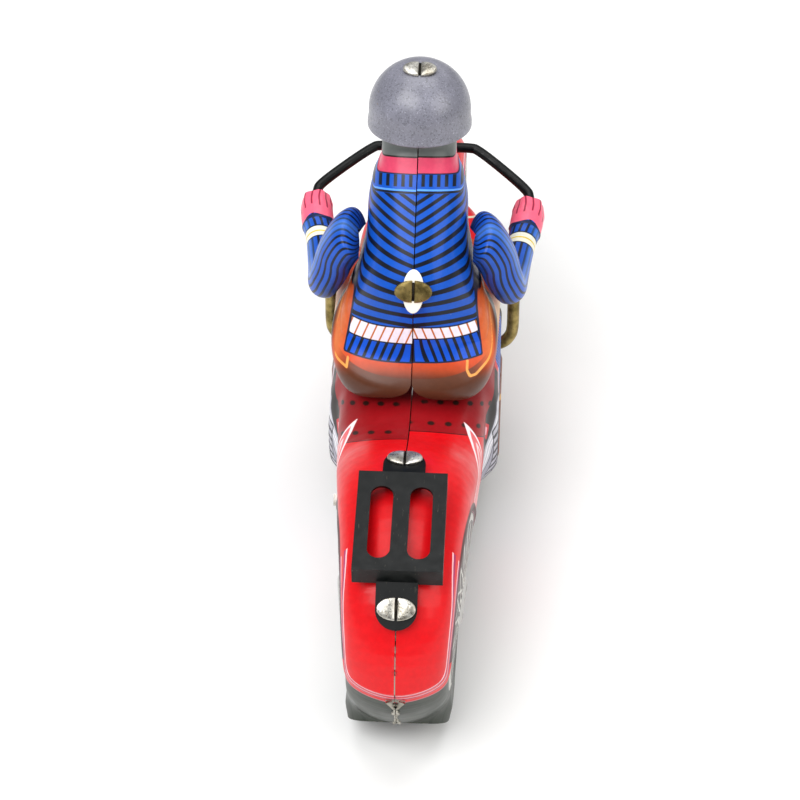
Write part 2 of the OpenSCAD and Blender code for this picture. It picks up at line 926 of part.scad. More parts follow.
module click_spring() {
    color("#b8b0a0")
        across(great_c, great_x - 0.8)
            rotate(click_a)
                linear_extrude(0.6)
                    polygon([for (t = [0:5:60]) 10.2 * [cos(t), sin(t)],
                        for (t = [60:-5:0]) 9.8 * [cos(t), sin(t)],
                        [7.6, -0.8], [7.8, -1.1]]);
}

spring_turns = 7;
spring_in = 2.3;
spring_out = 12.8;
spring_strip = 0.32;
spring_end = 31;

// Radius of the wound strip after a number of degrees, with its outer end drawn to a post
function spring_r(a) =
    let (total = spring_turns * 360)
    spring_in + (spring_out - spring_in) * a / total + 3.5 * smooth((a - total + 40) / 40);

module mainspring() {
    color("#4a5568")
        across(great_c, -3.6)
            linear_extrude(6.6)
                polygon(concat(
                    [for (a = [0:15:spring_turns * 360])
                        spring_r(a) * [cos(a + spring_end), sin(a + spring_end)]],
                    [for (a = [spring_turns * 360:-15:0])
                        (spring_r(a) + spring_strip) * [cos(a + spring_end), sin(a + spring_end)]]));
}

key_square = 2.6;
arbor_out = 17;

module winding_arbor() {
    color("#c8c8c0")
        across(great_c, -arbor_out)
            union() {
                cylinder(d = key_square * sqrt(2), h = 8, $fn = 4);
                translate([0, 0, 8 - eps])
                    cylinder(r = arbor_r, h = arbor_out + plate_x + plate_t + 0.6 - 8);
            }
}

// A wheel and its pinion on one arbor
module second_wheel() {
    color("#c9a85a")
        across(second_c, 0)
            union() {
                translate([0, 0, -plate_x - plate_t - 0.4])
                    cylinder(r = pivot_r, h = 2 * (plate_x + plate_t + 0.4));
                translate([0, 0, great_x - 0.4])
                    gear(small_pinion_teeth, 1.9, 0);
                translate([0, 0, second_x])
                    gear(second_teeth, gear_t, second_phase);
            }
}

third_x = 5.1;

module third_wheel() {
    color("#c9a85a")
        across(third_c, 0)
            union() {
                translate([0, 0, -plate_x - plate_t - 0.4])
                    cylinder(r = pivot_r, h = 2 * (plate_x + plate_t + 0.4));
                translate([0, 0, second_x - 0.4])
                    gear(small_pinion_teeth, 1.8, third_phase);
                translate([0, 0, third_x])
                    gear(third_teeth, 0.8, 0);
            }
}

module governor() {
    color("#9a9a94")
        across(fly_c, 0)
            union() {
                translate([0, 0, -plate_x - plate_t - 0.4])
                    cylinder(r = pivot_r, h = 2 * (plate_x + plate_t + 0.4));
                translate([0, 0, third_x - 0.2])
                    gear(fly_pinion_teeth, 1.2, fly_phase);
                translate([0, 0, -2])
                    cylinder(r = 2.4, h = 4);
                translate([-5, -0.9, -4])
                    cube([10, 1.8, 7]);
            }
}

module drive_pinion() {
    color("#c9a85a")
        across(rear_axle_c, second_x - 0.3)
            gear(pinion_teeth, 1.6, axle_phase, axle_r);
}

module base_plate() {
    color("#a8a8a0")
        translate([0, 0, 9])
            linear_extrude(0.6)
                union() {
                    translate([-13.3, -6])
                        square([26.6, 26]);
                    translate([-12.6, -14])
                        square([25.2, 40]);
                }
}

// ---- assembly -----------------------------------------------------------------------------

body_shell_left();
body_shell_right();
rider_shell_left();
rider_shell_right();
arm_left();
arm_right();
helmet();
helmet_tab();
back_tab();
back_washer();
luggage_rack();
rack_front_tab();
rack_rear_tab();
handlebar();
bar_bracket();
crash_bar();
headlamp_shell();
headlamp_lens();
steering_plate();
steering_pin();
fork_crown();
fork_left();
fork_right();
front_axle();
front_wheel();
front_tyre();
movement_plate(-plate_x - plate_t);  // movement_plate_left
movement_plate(plate_x);  // movement_plate_right
movement_pillars();
side_studs();
base_plate();
mainspring();
winding_arbor();
ratchet_wheel();
click();
click_spring();
great_wheel();
second_wheel();
third_wheel();
governor();
rear_axle();
drive_pinion();
rear_hub(-1);  // rear_hub_left
rear_hub(1);  // rear_hub_right
rear_tyre(-1);  // rear_tyre_left
rear_tyre(1);  // rear_tyre_right
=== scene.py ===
import math

import bmesh
import bpy
import numpy as np
from mathutils import Matrix, Vector


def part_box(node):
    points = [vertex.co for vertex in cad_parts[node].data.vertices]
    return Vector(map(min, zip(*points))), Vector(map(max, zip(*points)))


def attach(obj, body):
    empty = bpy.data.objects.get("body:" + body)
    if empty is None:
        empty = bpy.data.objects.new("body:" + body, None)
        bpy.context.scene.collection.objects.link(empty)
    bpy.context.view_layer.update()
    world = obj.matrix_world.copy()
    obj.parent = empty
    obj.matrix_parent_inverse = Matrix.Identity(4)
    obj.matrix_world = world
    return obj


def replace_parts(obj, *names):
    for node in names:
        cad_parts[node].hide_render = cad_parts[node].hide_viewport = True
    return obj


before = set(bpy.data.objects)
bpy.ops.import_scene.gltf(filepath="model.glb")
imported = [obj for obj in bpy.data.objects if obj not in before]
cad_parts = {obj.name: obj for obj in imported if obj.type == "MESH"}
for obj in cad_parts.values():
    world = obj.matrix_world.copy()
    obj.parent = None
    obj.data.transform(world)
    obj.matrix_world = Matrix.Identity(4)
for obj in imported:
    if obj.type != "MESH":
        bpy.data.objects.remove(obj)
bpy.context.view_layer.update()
print("frame loaded:", len(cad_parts), "nodes")

mm = 0.001


def centreOf(node):
    # middle of a node's box, in millimetres
    low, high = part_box(node)
    return (np.array(low) + np.array(high)) / 2 / mm


rearAxle = centreOf("rear_tyre_right")[1:]
frontAxle = centreOf("front_tyre")[1:]

# ---------------- shapes ----------------


def curve(rows, u):
    # Catmull-Rom through listed rows: cubic between neighbours, for u from 0 to 1
    rows = np.asarray(rows, float)
    last = len(rows) - 1
    s = np.clip(np.asarray(u, float) * last, 0, last - 1e-6)
    i = np.floor(s).astype(int)
    t = (s - i)[..., None]
    a, b = rows[np.maximum(i - 1, 0)], rows[i]
    c, d = rows[i + 1], rows[np.minimum(i + 2, last)]
    return 0.5 * (2 * b + (c - a) * t + (2 * a - 5 * b + 4 * c - d) * t**2 + (3 * b - a - 3 * c + d) * t**3)


def smooth(t):
    c = np.clip(t, 0, 1)
    return c * c * (3 - 2 * c)


def roll(t):
    # quarter circle: 0 at a stamped edge, 1 one radius away
    c = 1 - np.clip(t, 0, 1)
    return np.sqrt(1 - c * c)


def bell(t):
    return np.exp(-t * t)


def lineDistance(y, z, points):
    # shortest distance from each point to an open polyline
    best = np.full(np.shape(y), 1e9)
    for (ay, az), (by, bz) in zip(points[:-1], points[1:]):
        dy, dz = by - ay, bz - az
        t = np.clip(((y - ay) * dy + (z - az) * dz) / max(dy * dy + dz * dz, 1e-12), 0, 1)
        best = np.minimum(best, np.hypot(y - ay - t * dy, z - az - t * dz))
    return best


def convex(y, z, points):
    # signed distance to a convex outline listed anticlockwise, positive inside
    best = np.full(np.shape(y), 1e9)
    for (ay, az), (by, bz) in zip(points, points[1:] + points[:1]):
        length = math.hypot(by - ay, bz - az)
        best = np.minimum(best, ((by - ay) * (z - az) - (bz - az) * (y - ay)) / length)
    return best


def stroke(y, z, points, width):
    return width / 2 - lineDistance(y, z, points)


def gridNormals(grid, wrap):
    # cross product of the two directions of a grid of points
    if wrap:
        along = np.roll(grid, -1, 0) - np.roll(grid, 1, 0)
    else:
        along = np.gradient(grid, axis=0)
    normal = np.cross(along, np.gradient(grid, axis=1))
    return normal / np.maximum(np.linalg.norm(normal, axis=2, keepdims=True), 1e-9)


def arcLength(grid, axis):
    # running length in mm along one direction of a grid
    step = np.linalg.norm(np.diff(grid, axis=axis), axis=2)
    start = np.zeros_like(np.take(step, [0], axis))
    return np.concatenate([start, np.cumsum(step, axis)], axis)


def newObject(name, points, faces, body, materials, fields=None, slots=None, sharp=None):
    mesh = bpy.data.meshes.new(name)
    mesh.from_pydata(np.asarray(points, float) * mm, [], faces)
    mesh.polygons.foreach_set("use_smooth", np.ones(len(mesh.polygons), bool))
    for field, values in (fields or {}).items():
        layer = mesh.attributes.new(field, "FLOAT", "POINT")
        layer.data.foreach_set("value", np.ascontiguousarray(values, dtype=np.float32).ravel())
    if sharp is not None:
        ends = np.empty(len(mesh.edges) * 2, int)
        mesh.edges.foreach_get("vertices", ends)
        ends = ends.reshape(-1, 2)
        mark = (sharp[ends[:, 0]] > 0) & (sharp[ends[:, 0]] == sharp[ends[:, 1]])
        layer = mesh.attributes.new("sharp_edge", "BOOLEAN", "EDGE")
        layer.data.foreach_set("value", mark)
    for m in materials:
        mesh.materials.append(m)
    if slots is not None:
        mesh.polygons.foreach_set("material_index", np.asarray(slots, dtype=np.int32))
    mesh.validate()
    mesh.update()
    piece = bpy.data.objects.new(name, mesh)
    bpy.context.collection.objects.link(piece)
    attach(piece, body)
    return piece


def sheet(name, grid, body, materials, wall, fields=None, wrap=False, flip=False, seam=None):
    # closed sheet: the grid, its copy one wall behind it, and a rim round the open sides
    n, m = grid.shape[:2]
    normal = gridNormals(grid, wrap) * (-1 if flip else 1)
    back = grid - wall * normal
    if seam is not None:
        back[..., 0] = np.maximum(back[..., 0] * seam, 0.02) * seam
    index = np.arange(n * m).reshape(n, m)
    follow = np.roll(index, -1, 0) if wrap else index[1:]
    here = index if wrap else index[:-1]
    front = np.stack([here[:, :-1], follow[:, :-1], follow[:, 1:], here[:, 1:]], -1).reshape(-1, 4)
    edges = [np.stack([here[:, 0], follow[:, 0]], -1), np.stack([follow[:, -1], here[:, -1]], -1)]
    if not wrap:
        edges += [np.stack([index[-1, :-1], index[-1, 1:]], -1), np.stack([index[0, 1:], index[0, :-1]], -1)]
    edge = np.concatenate(edges)
    rim = np.stack([edge[:, 1], edge[:, 0], edge[:, 0] + n * m, edge[:, 1] + n * m], -1)
    faces = np.concatenate([front, front[:, ::-1] + n * m, rim])
    if flip:
        faces = faces[:, ::-1]
    sides = np.zeros((n, m), int)
    sides[:, [0, -1]] = 1
    if not wrap:
        sides[[0, -1]] = 1
    sharp = np.concatenate([sides.ravel(), 2 * sides.ravel()])
    slots = np.concatenate([np.zeros(len(front)), np.ones(len(faces) - len(front))])
    both = {k: np.concatenate([v.ravel(), v.ravel()]) for k, v in (fields or {}).items()}
    points = np.concatenate([grid.reshape(-1, 3), back.reshape(-1, 3)])
    return newObject(name, points, faces.tolist(), body, materials, both, slots, sharp)


def mirrorX(grid, side):
    out = grid.copy()
    out[..., 0] *= side
    return out


# ---------------- materials ----------------


def linear(code, alpha=1.0):
    # sRGB hex to linear colour
    c = np.array([int(code[i : i + 2], 16) for i in (1, 3, 5)]) / 255
    c = np.where(c <= 0.04045, c / 12.92, ((c + 0.055) / 1.055) ** 2.4)
    return (*c.tolist(), alpha)


def addNode(tree, kind, settings=None, links=None):
    node = tree.nodes.new(kind)
    for key, value in (settings or {}).items():
        if isinstance(key, int) or key[0].isupper():
            node.inputs[key].default_value = value
        else:
            setattr(node, key, value)
    for key, source in (links or {}).items():
        tree.links.new(source, node.inputs[key])
    return node


def newMaterial(name):
    m = bpy.data.materials.new(name)
    m.use_nodes = True
    tree = m.node_tree
    tree.nodes.clear()
    shader = addNode(tree, "ShaderNodeBsdfPrincipled")
    out = addNode(tree, "ShaderNodeOutputMaterial", links={"Surface": shader.outputs[0]})
    place = addNode(tree, "ShaderNodeTexCoord")
    return m, tree, shader, place.outputs["Object"]


def noise(tree, place, size, detail=3.0, rough=0.5):
    # noise whose lumps are about size millimetres across
    return addNode(
        tree,
        "ShaderNodeTexNoise",
        {"Scale": 1 / (size * mm), "Detail": detail, "Roughness": rough},
        {"Vector": place},
    ).outputs["Fac"]


def ramp(tree, value, low, high, start=0.0, end=1.0):
    return addNode(
        tree,
        "ShaderNodeMapRange",
        {
            "interpolation_type": "SMOOTHSTEP",
            "From Min": low,
            "From Max": high,
            "To Min": start,
            "To Max": end,
        },
        {"Value": value},
    ).outputs[0]


def mixColour(tree, amount, below, above, how="MIX"):
    # below and above are sockets or colours
    node = addNode(tree, "ShaderNodeMix", {"data_type": "RGBA", "blend_type": how})
    for socket, value in ((node.inputs[0], amount), (node.inputs[6], below), (node.inputs[7], above)):
        if isinstance(value, bpy.types.NodeSocket):
            tree.links.new(value, socket)
        else:
            socket.default_value = value
    return node.outputs[2]


def printedTin(name, base, inks, gloss=0.36, speck=0.03, wear=0.35, coat=0.12):
    # Lithographed tinplate: flat oil inks in register, baked under varnish. The eye sees crisp
    # edges, faint mottling of the ink, small sharp highlights and bare tin where edges rub.
    m, tree, shader, place = newMaterial(name)
    fields = {}

    def field(key):
        if key not in fields:
            fields[key] = addNode(tree, "ShaderNodeAttribute", {"attribute_name": key}).outputs["Fac"]
        return fields[key]

    colour = addNode(tree, "ShaderNodeRGB")
    colour.outputs[0].default_value = linear(base)
    colour = colour.outputs[0]
    for ink in inks:
        soft = ink.get("soft", 0.12)
        if "stripes" in ink:
            key, share, pitch = ink["stripes"]
            fold = addNode(tree, "ShaderNodeMath", {"operation": "PINGPONG", 1: 0.5}, {0: field(key)}).outputs[0]
            amount = ramp(tree, fold, share / 2 - soft / pitch / 2, share / 2 + soft / pitch / 2, 1, 0)
        elif "band" in ink:
            key, low, high = ink["band"]
            rising = ramp(tree, field(key), low - soft / 2, low + soft / 2)
            falling = ramp(tree, field(key), high - soft / 2, high + soft / 2, 1, 0)
            amount = addNode(tree, "ShaderNodeMath", {"operation": "MULTIPLY"}, {0: rising, 1: falling}).outputs[0]
        else:
            start = ink.get("shift", 0.0) - soft / 2
            amount = ramp(tree, field(ink["area"]), start, start + soft)
        if "within" in ink:
            inside = ramp(tree, field(ink["within"]), -0.06, 0.06)
            amount = addNode(tree, "ShaderNodeMath", {"operation": "MULTIPLY"}, {0: amount, 1: inside}).outputs[0]
        if "strength" in ink:
            amount = addNode(
                tree, "ShaderNodeMath", {"operation": "MULTIPLY", 1: ink["strength"]}, {0: amount}
            ).outputs[0]
        colour = mixColour(tree, amount, colour, linear(ink["colour"]))
    # mottled ink, lumps of 1.2 mm
    mottle = ramp(tree, noise(tree, place, 1.2, 4), 0.3, 0.7, 1 - speck * 2, 1 + speck)
    colour = mixColour(tree, 1.0, colour, mottle, "MULTIPLY")
    # rubbed edges: bare tin shows within about 0.3 mm of a free edge, and in a few nicks
    rub = noise(tree, place, 0.9, 5, 0.7)
    edge = addNode(tree, "ShaderNodeMath", {"operation": "MULTIPLY_ADD", 1: -1.1, 2: 0.62}, {0: field("edge")}).outputs[0]
    bare = addNode(tree, "ShaderNodeMath", {"operation": "MINIMUM"}, {0: edge, 1: rub}).outputs[0]
    bare = ramp(tree, bare, 0.5, 0.56, 0, wear)
    nick = ramp(tree, noise(tree, place, 3.1, 6, 0.72), 0.735, 0.75, 0, 0.8)
    bare = addNode(tree, "ShaderNodeMath", {"operation": "MAXIMUM"}, {0: bare, 1: nick}).outputs[0]
    colour = mixColour(tree, bare, colour, linear("#A9A397"))
    tree.links.new(colour, shader.inputs["Base Color"])
    tree.links.new(bare, shader.inputs["Metallic"])
    tree.links.new(
        ramp(tree, noise(tree, place, 5, 3), 0.3, 0.7, gloss - 0.05, gloss + 0.08),
        shader.inputs["Roughness"],
    )
    shader.inputs["Coat Weight"].default_value = coat
    shader.inputs["Coat Roughness"].default_value = 0.12
    shader.inputs["Specular IOR Level"].default_value = 0.22
    wave = addNode(
        tree,
        "ShaderNodeBump",
        {"Strength": 0.12, "Distance": 0.0004},
        {"Height": noise(tree, place, 7, 2)},
    ).outputs[0]
    fine = addNode(
        tree,
        "ShaderNodeBump",
        {"Strength": 0.08, "Distance": 0.00005},
        {"Height": noise(tree, place, 0.5, 2), "Normal": wave},
    ).outputs[0]
    tree.links.new(fine, shader.inputs["Normal"])
    return m


def metal(name, light, dark, rough, size=1.5, bump=0.15, grainTo=None, spots=None):
    # light and dark are the two ends of its tarnish; grainTo stretches the noise along an axis
    m, tree, shader, place = newMaterial(name)
    if grainTo:
        place = addNode(tree, "ShaderNodeMapping", {"Scale": grainTo}, {"Vector": place}).outputs[0]
    tarnish = ramp(tree, noise(tree, place, size * 4, 5, 0.6), 0.3, 0.7)
    colour = mixColour(tree, tarnish, linear(dark), linear(light))
    if spots:
        pit = ramp(tree, noise(tree, place, size * 0.7, 6, 0.7), 0.6, 0.68)
        colour = mixColour(tree, pit, colour, linear(spots))
    tree.links.new(colour, shader.inputs["Base Color"])
    shader.inputs["Metallic"].default_value = 1.0
    grain = noise(tree, place, size, 4, 0.65)
    tree.links.new(ramp(tree, grain, 0.25, 0.75, rough - 0.08, rough + 0.12), shader.inputs["Roughness"])
    dent = addNode(tree, "ShaderNodeBump", {"Strength": bump, "Distance": 0.0001}, {"Height": grain}).outputs[0]
    tree.links.new(dent, shader.inputs["Normal"])
    return m


# bright tinplate, unprinted inner side: pale grey metal with a faint rolled grain
innerTin = metal("inner_tinplate", "#B9B6AC", "#8E8A7E", 0.38, 1.2, 0.1, (1, 0.15, 1))
# nickelled brass clips, handled for decades: bright lobes with yellow-brown pits
nickel = metal("pitted_nickel", "#E6E4DC", "#A8A294", 0.3, 0.7, 0.9, None, "#6E5B3A")
# dull brass clip: brown-olive tarnish with lighter rubbed crown
dullBrass = metal("tarnished_brass", "#9A8754", "#4E4426", 0.42, 0.8, 0.8, None, "#2E2A1A")
# brass-plated wire gone olive: satin, slightly streaked along its length
oliveBrass = metal("olive_brass_wire", "#B7A368", "#6C5F34", 0.34, 0.9, 0.25, None, "#4A4126")
# stamped clock brass: warm yellow with a fine rolled grain
clockBrass = metal("clock_brass", "#D2AE62", "#A27F3A", 0.3, 0.5, 0.15, (1, 0.2, 1))
# mild steel shafts and plates: grey satin with light oil stain
mildSteel = metal("mild_steel", "#BDBBB4", "#84817A", 0.32, 0.6, 0.2)
# blued spring steel: dark blue-grey, smooth
bluedSteel = metal("blued_spring_steel", "#5A6780", "#2F3846", 0.26, 1.5, 0.1)
# zinc-plated pressings of the running wheels
zinc = metal("zinc_plate", "#C4C6C6", "#8F9396", 0.36, 0.9, 0.3)
print("plain metals made")

# ---------------- machine halves ----------------

machine = {
    "engineHalfWidth": 19.8,
    "rollRadius": 8.5,
    "tailRoll": 6.0,
    "scoop": 7.0,  # how far the nose edge curves back round the front wheel
    "wall": 0.4,
    "stations": 340,
    "columns": 120,
    "seamGap": 0.12,
    "saddleEnd": (-37.2, -32.6),  # y of the saddle's rear border, left and right: the prints don't meet
    "dotRows": ((-22.4, -33.2), (-21.2, -28.8)),
    "dotStart": ((3.3, 4.6), (2.8, 0.6)),
    "dotPitch": (3.65, 4.0),
}
rearC = np.array([rearAxle[0], 30.0])
frontC = np.array([frontAxle[0], 30.0])


def onRear(angle, r):
    return [rearC[0] + r * math.cos(math.radians(angle)), rearC[1] + r * math.sin(math.radians(angle))]


# tail to nose: top seam y and z, lower edge y and z, half-width above and at the lower edge
machineRows = [
    onRear(176, 30) + onRear(187, 27) + [9.2, 6.5],
    onRear(162, 30) + onRear(200, 27) + [10, 8.5],
    onRear(146, 30) + onRear(221, 27) + [10.9, 10.4],
    onRear(131, 30) + onRear(238, 27) + [11.8, 11.2],
    [-75, 57.2, -71, 3.9, 12.5, 11.5],
    [-64, 58.9, -62, 3.1, 13.6, 11.6],
    [-53, 58.6, -52, 5.8, 14.6, 11.8],
    [-43, 55.8, -43.5, 12.5, 15.6, 12],
    [-34, 51.8, -37.5, 17, 16.2, 12.2],
    [-25, 50.3, -30, 12, 16.6, 13],
    [-10, 50.5, -18, 8.5, 17, 14],
    [8, 53, 0, 8, 16.6, 14.5],
    [26, 57.5, 18, 8, 15.8, 14],
    [40, 60, 30, 8.5, 15, 13],
    [46.8, 58.8, 36.5, 10.5, 12.8, 10.5],
    [48.4, 54.8, 37.5, 13.5, 11, 9],
]


def machineSide(u, v):
    # side view: straight from the top seam to the lower edge, scooped back at the nose
    r = curve(machineRows, u)
    back = machine["scoop"] * np.sin(np.pi * v) * smooth((u - 0.78) / 0.22)
    width = r[..., 4] + (r[..., 5] - r[..., 4]) * smooth((v - 0.35) / 0.65)
    return r[..., 0] + (r[..., 2] - r[..., 0]) * v - back, r[..., 1] + (r[..., 3] - r[..., 1]) * v, width


def crowd(t):
    # columns crowd towards both edges, where the roll is
    return t - 0.11 * np.sin(2 * np.pi * t)


def machineSeam():
    foot = curve(machineRows, np.linspace(2 / 15, 0, 7))[:, 2:4]
    top = curve(machineRows, np.linspace(0, 1, 46))[:, :2]
    noseY, noseZ, _ = machineSide(np.ones(8), np.linspace(1 / 8, 1, 8))
    return np.concatenate([foot, top, np.stack([noseY, noseZ], -1)]).tolist()


def machineGrid():
    u, v = np.meshgrid(
        np.linspace(0, 1, machine["stations"]), crowd(np.linspace(0, 1, machine["columns"])), indexing="ij"
    )
    y, z, width = machineSide(u, v)
    gap = lineDistance(y, z, machineSeam())
    q = 1 - ((y - 8) / 28) ** 2 - ((z - 30) / 23) ** 2
    full = width + (machine["engineHalfWidth"] - width) * smooth(2 * q) * smooth((46 - z) / 8)
    radius = machine["rollRadius"] - (machine["rollRadius"] - machine["tailRoll"]) * smooth((0.3 - u) / 0.2)
    x = full * roll(np.maximum(gap - 0.02, 0) / radius)
    # pressed relief: the printed tyre stands out as a ring behind the mudguard's lip, its hub as a boss
    r = np.hypot(y - rearC[0], z - rearC[1])
    lift = 0.5 * bell((r - 24) / 2.4) * smooth((32 - z) / 6) + 0.7 * smooth((6 - r) / 2)
    lift = lift + 0.35 * bell((guardField(y, z, x) - 0.9) / 0.8) - 0.3 * bell((r - 19.4) / 0.6)
    x = x + lift * smooth((gap - 4) / 4) * smooth((-42 - y) / 4)
    # cooling fins of the cylinder and the edge of the boot stand proud
    fin = smooth(convex(y, z, [(-14, 19), (-1, 19), (-1, 35), (-14, 35)]) / 1.0)
    x = x + 0.22 * fin * np.cos(2 * np.pi * z / 2.4)
    x = x + 0.5 * smooth(bootField(y, z) / 1.2)
    x = np.maximum(x, machine["seamGap"])
    x[[0, -1]] = machine["seamGap"]
    x[:, 0] = machine["seamGap"]
    return np.stack([x, y, z], -1)


def guardField(y, z, x):
    # distance inside the rear mudguard's lower border: an arc over the wheel joined to a level tail
    a = np.hypot(y - rearC[0], z - rearC[1]) - 19.8
    b = z - 26.0 - 0.12 * np.abs(x)
    k = np.clip(0.5 + (b - a) / 8, 0, 1)
    return b + (a - b) * k - 4 * k * (1 - k)


def bootField(y, z):
    shaft = convex(y, z, [(0.5, 12), (10.5, 12), (13, 36.5), (3, 38)])
    foot = convex(y, z, [(-1, 9), (21, 9), (22.5, 12), (19, 15.5), (9, 18), (-1, 17)])
    return np.maximum(shaft, foot)


def spokes(y, z, centre, count, offset, r):
    # crossed spokes laced at a tangent: distance to the nearest of both sets
    angle = np.arctan2(z - centre[1], y - centre[0])
    near = []
    for turn in (-1, 1):
        phase = (angle + turn * np.arcsin(np.clip(offset / np.maximum(r, offset), -1, 1))) * count / (2 * np.pi)
        near.append(np.abs(phase - np.round(phase)) * 2 * np.pi / count * r)
    return np.minimum(*near)


def wheelFields(y, z, centre):
    r = np.hypot(y - centre[0], z - centre[1])
    angle = np.arctan2(z - centre[1], y - centre[0])
    return {
        "rim": 19.6 - r,
        "well": np.minimum(18.0 - r, r - 5.2),
        "spoke": np.minimum(0.34 - spokes(y, z, centre, 18, 3.2, r), np.minimum(18.2 - r, r - 4.5)),
        "hub": 5.4 - r,
        "hubRing": 0.5 - np.abs(r - 3.4),
        "tread": angle * 27 / 2.2,
    }


def machineFields(grid, side):
    x, y, z = grid[..., 0], grid[..., 1], grid[..., 2]
    k = 0 if side < 0 else 1
    acrossTop = arcLength(grid, 1)
    foot = curve(machineRows, np.linspace(2 / 15, 1, 60))[:, 2:4]
    guard = guardField(y, z, x)
    r = np.hypot(y - rearC[0], z - rearC[1])
    wheel = np.minimum(-guard, 27.4 - r)
    level = y + 1.1 * (z - z[:, [0]])
    border = level - machine["saddleEnd"][k]
    saddle = np.minimum(np.minimum(border, z - 41.5), 14 - y)
    dots = np.full(y.shape, -9.0)
    for row, start, pitch in zip(machine["dotRows"][k], machine["dotStart"][k], machine["dotPitch"]):
        s = acrossTop - start
        nearest = np.maximum(np.round(s / pitch), 0) * pitch
        dots = np.maximum(dots, 0.85 - np.hypot(level - row, s - nearest))
    panel = convex(y, z, [(-25, 47.5), (-48, 45), (-43, 32)])
    behind = ((y + 36) * 16 + (z - 34) * 14) / math.hypot(14, 16)
    band = np.minimum(1.7 - np.abs(behind + 5.4), np.minimum(z - 31, 46 - z))
    engine = 11 * (1 - ((y - 4) / 30) ** 2 - ((z - 22) / 18) ** 2)
    cylinder = convex(y, z, [(-15, 18), (0, 18), (0, 36), (-15, 36)])
    pipe = [(-2, 36), (-9, 38), (-17, 33), (-21, 20), (-27, 15.5)]
    leg = np.maximum(stroke(y, z, [(27, 50), (12, 42)], 15), stroke(y, z, [(12, 44), (7.5, 36)], 11))
    tank = convex(y, z, [(4, 46), (24, 43.5), (43, 46.5), (45.5, 54), (38, 58.8), (8, 52)])
    fields = {
        "edge": np.minimum(x, lineDistance(y, z, foot.tolist())),
        "guard": guard,
        "guardShadeSide": np.minimum(z - 33, -40 - y),
        # sides of the rear mudguard that take the painted shade along its lower edge
        "tail": -72 - y,
        "wheel": wheel,
        "saddle": saddle,
        "border": border,
        "dots": dots,
        "panel": panel,
        "band": band,
        # painted shadow under the saddle, behind the boot
        "shadowBehindBoot": convex(y, z, [(-24, 34), (1, 34), (2, 46), (-24, 45.5)]),
        "engine": engine,
        "cylinder": cylinder,
        "fins": z / 2.4,
        "crank": 10.2 - np.hypot(y + 1, z - 19),
        "crankIn": 6.4 - np.hypot(y + 1, z - 19),
        "gearbox": 5.6 - np.hypot(y - 14, z - 21),
        "bolts": 0.7 - np.hypot(np.abs(y + 1) - 6.3, np.abs(z - 19) - 5.2),
        "pipe": 2.1 - lineDistance(y, z, pipe),
        "silencer": stroke(y, z, [(-29, 15.6), (-33, 16.6)], 4.6),
        "badge": 2.3 - np.abs(y + 17.5) - 0.8 * np.abs(z - 38.4),
        "leg": leg,
        "sock": np.minimum(leg, np.minimum(41.5 - z + 0.3 * (y - 6), z - 34)),
        "sockRib": (y + 0.2 * z) / 1.1,
        "boot": bootField(y, z),
        "sole": np.minimum(bootField(y, z), 11 - z),
        "strap": np.minimum(bootField(y, z), 0.9 - np.abs(z - 31 + 0.15 * y)),
        "frame": stroke(y, z, [(45, 50), (34, 30), (28, 11)], 4.4),
        "frameGap": convex(y, z, [(20, 12), (34, 14), (41, 44), (20, 42.5)]),
        "tank": tank,
        # painted shade: darker towards the bottom
        "shadeBelow": -z,
    }
    fields.update(wheelFields(y, z, rearC))
    return fields


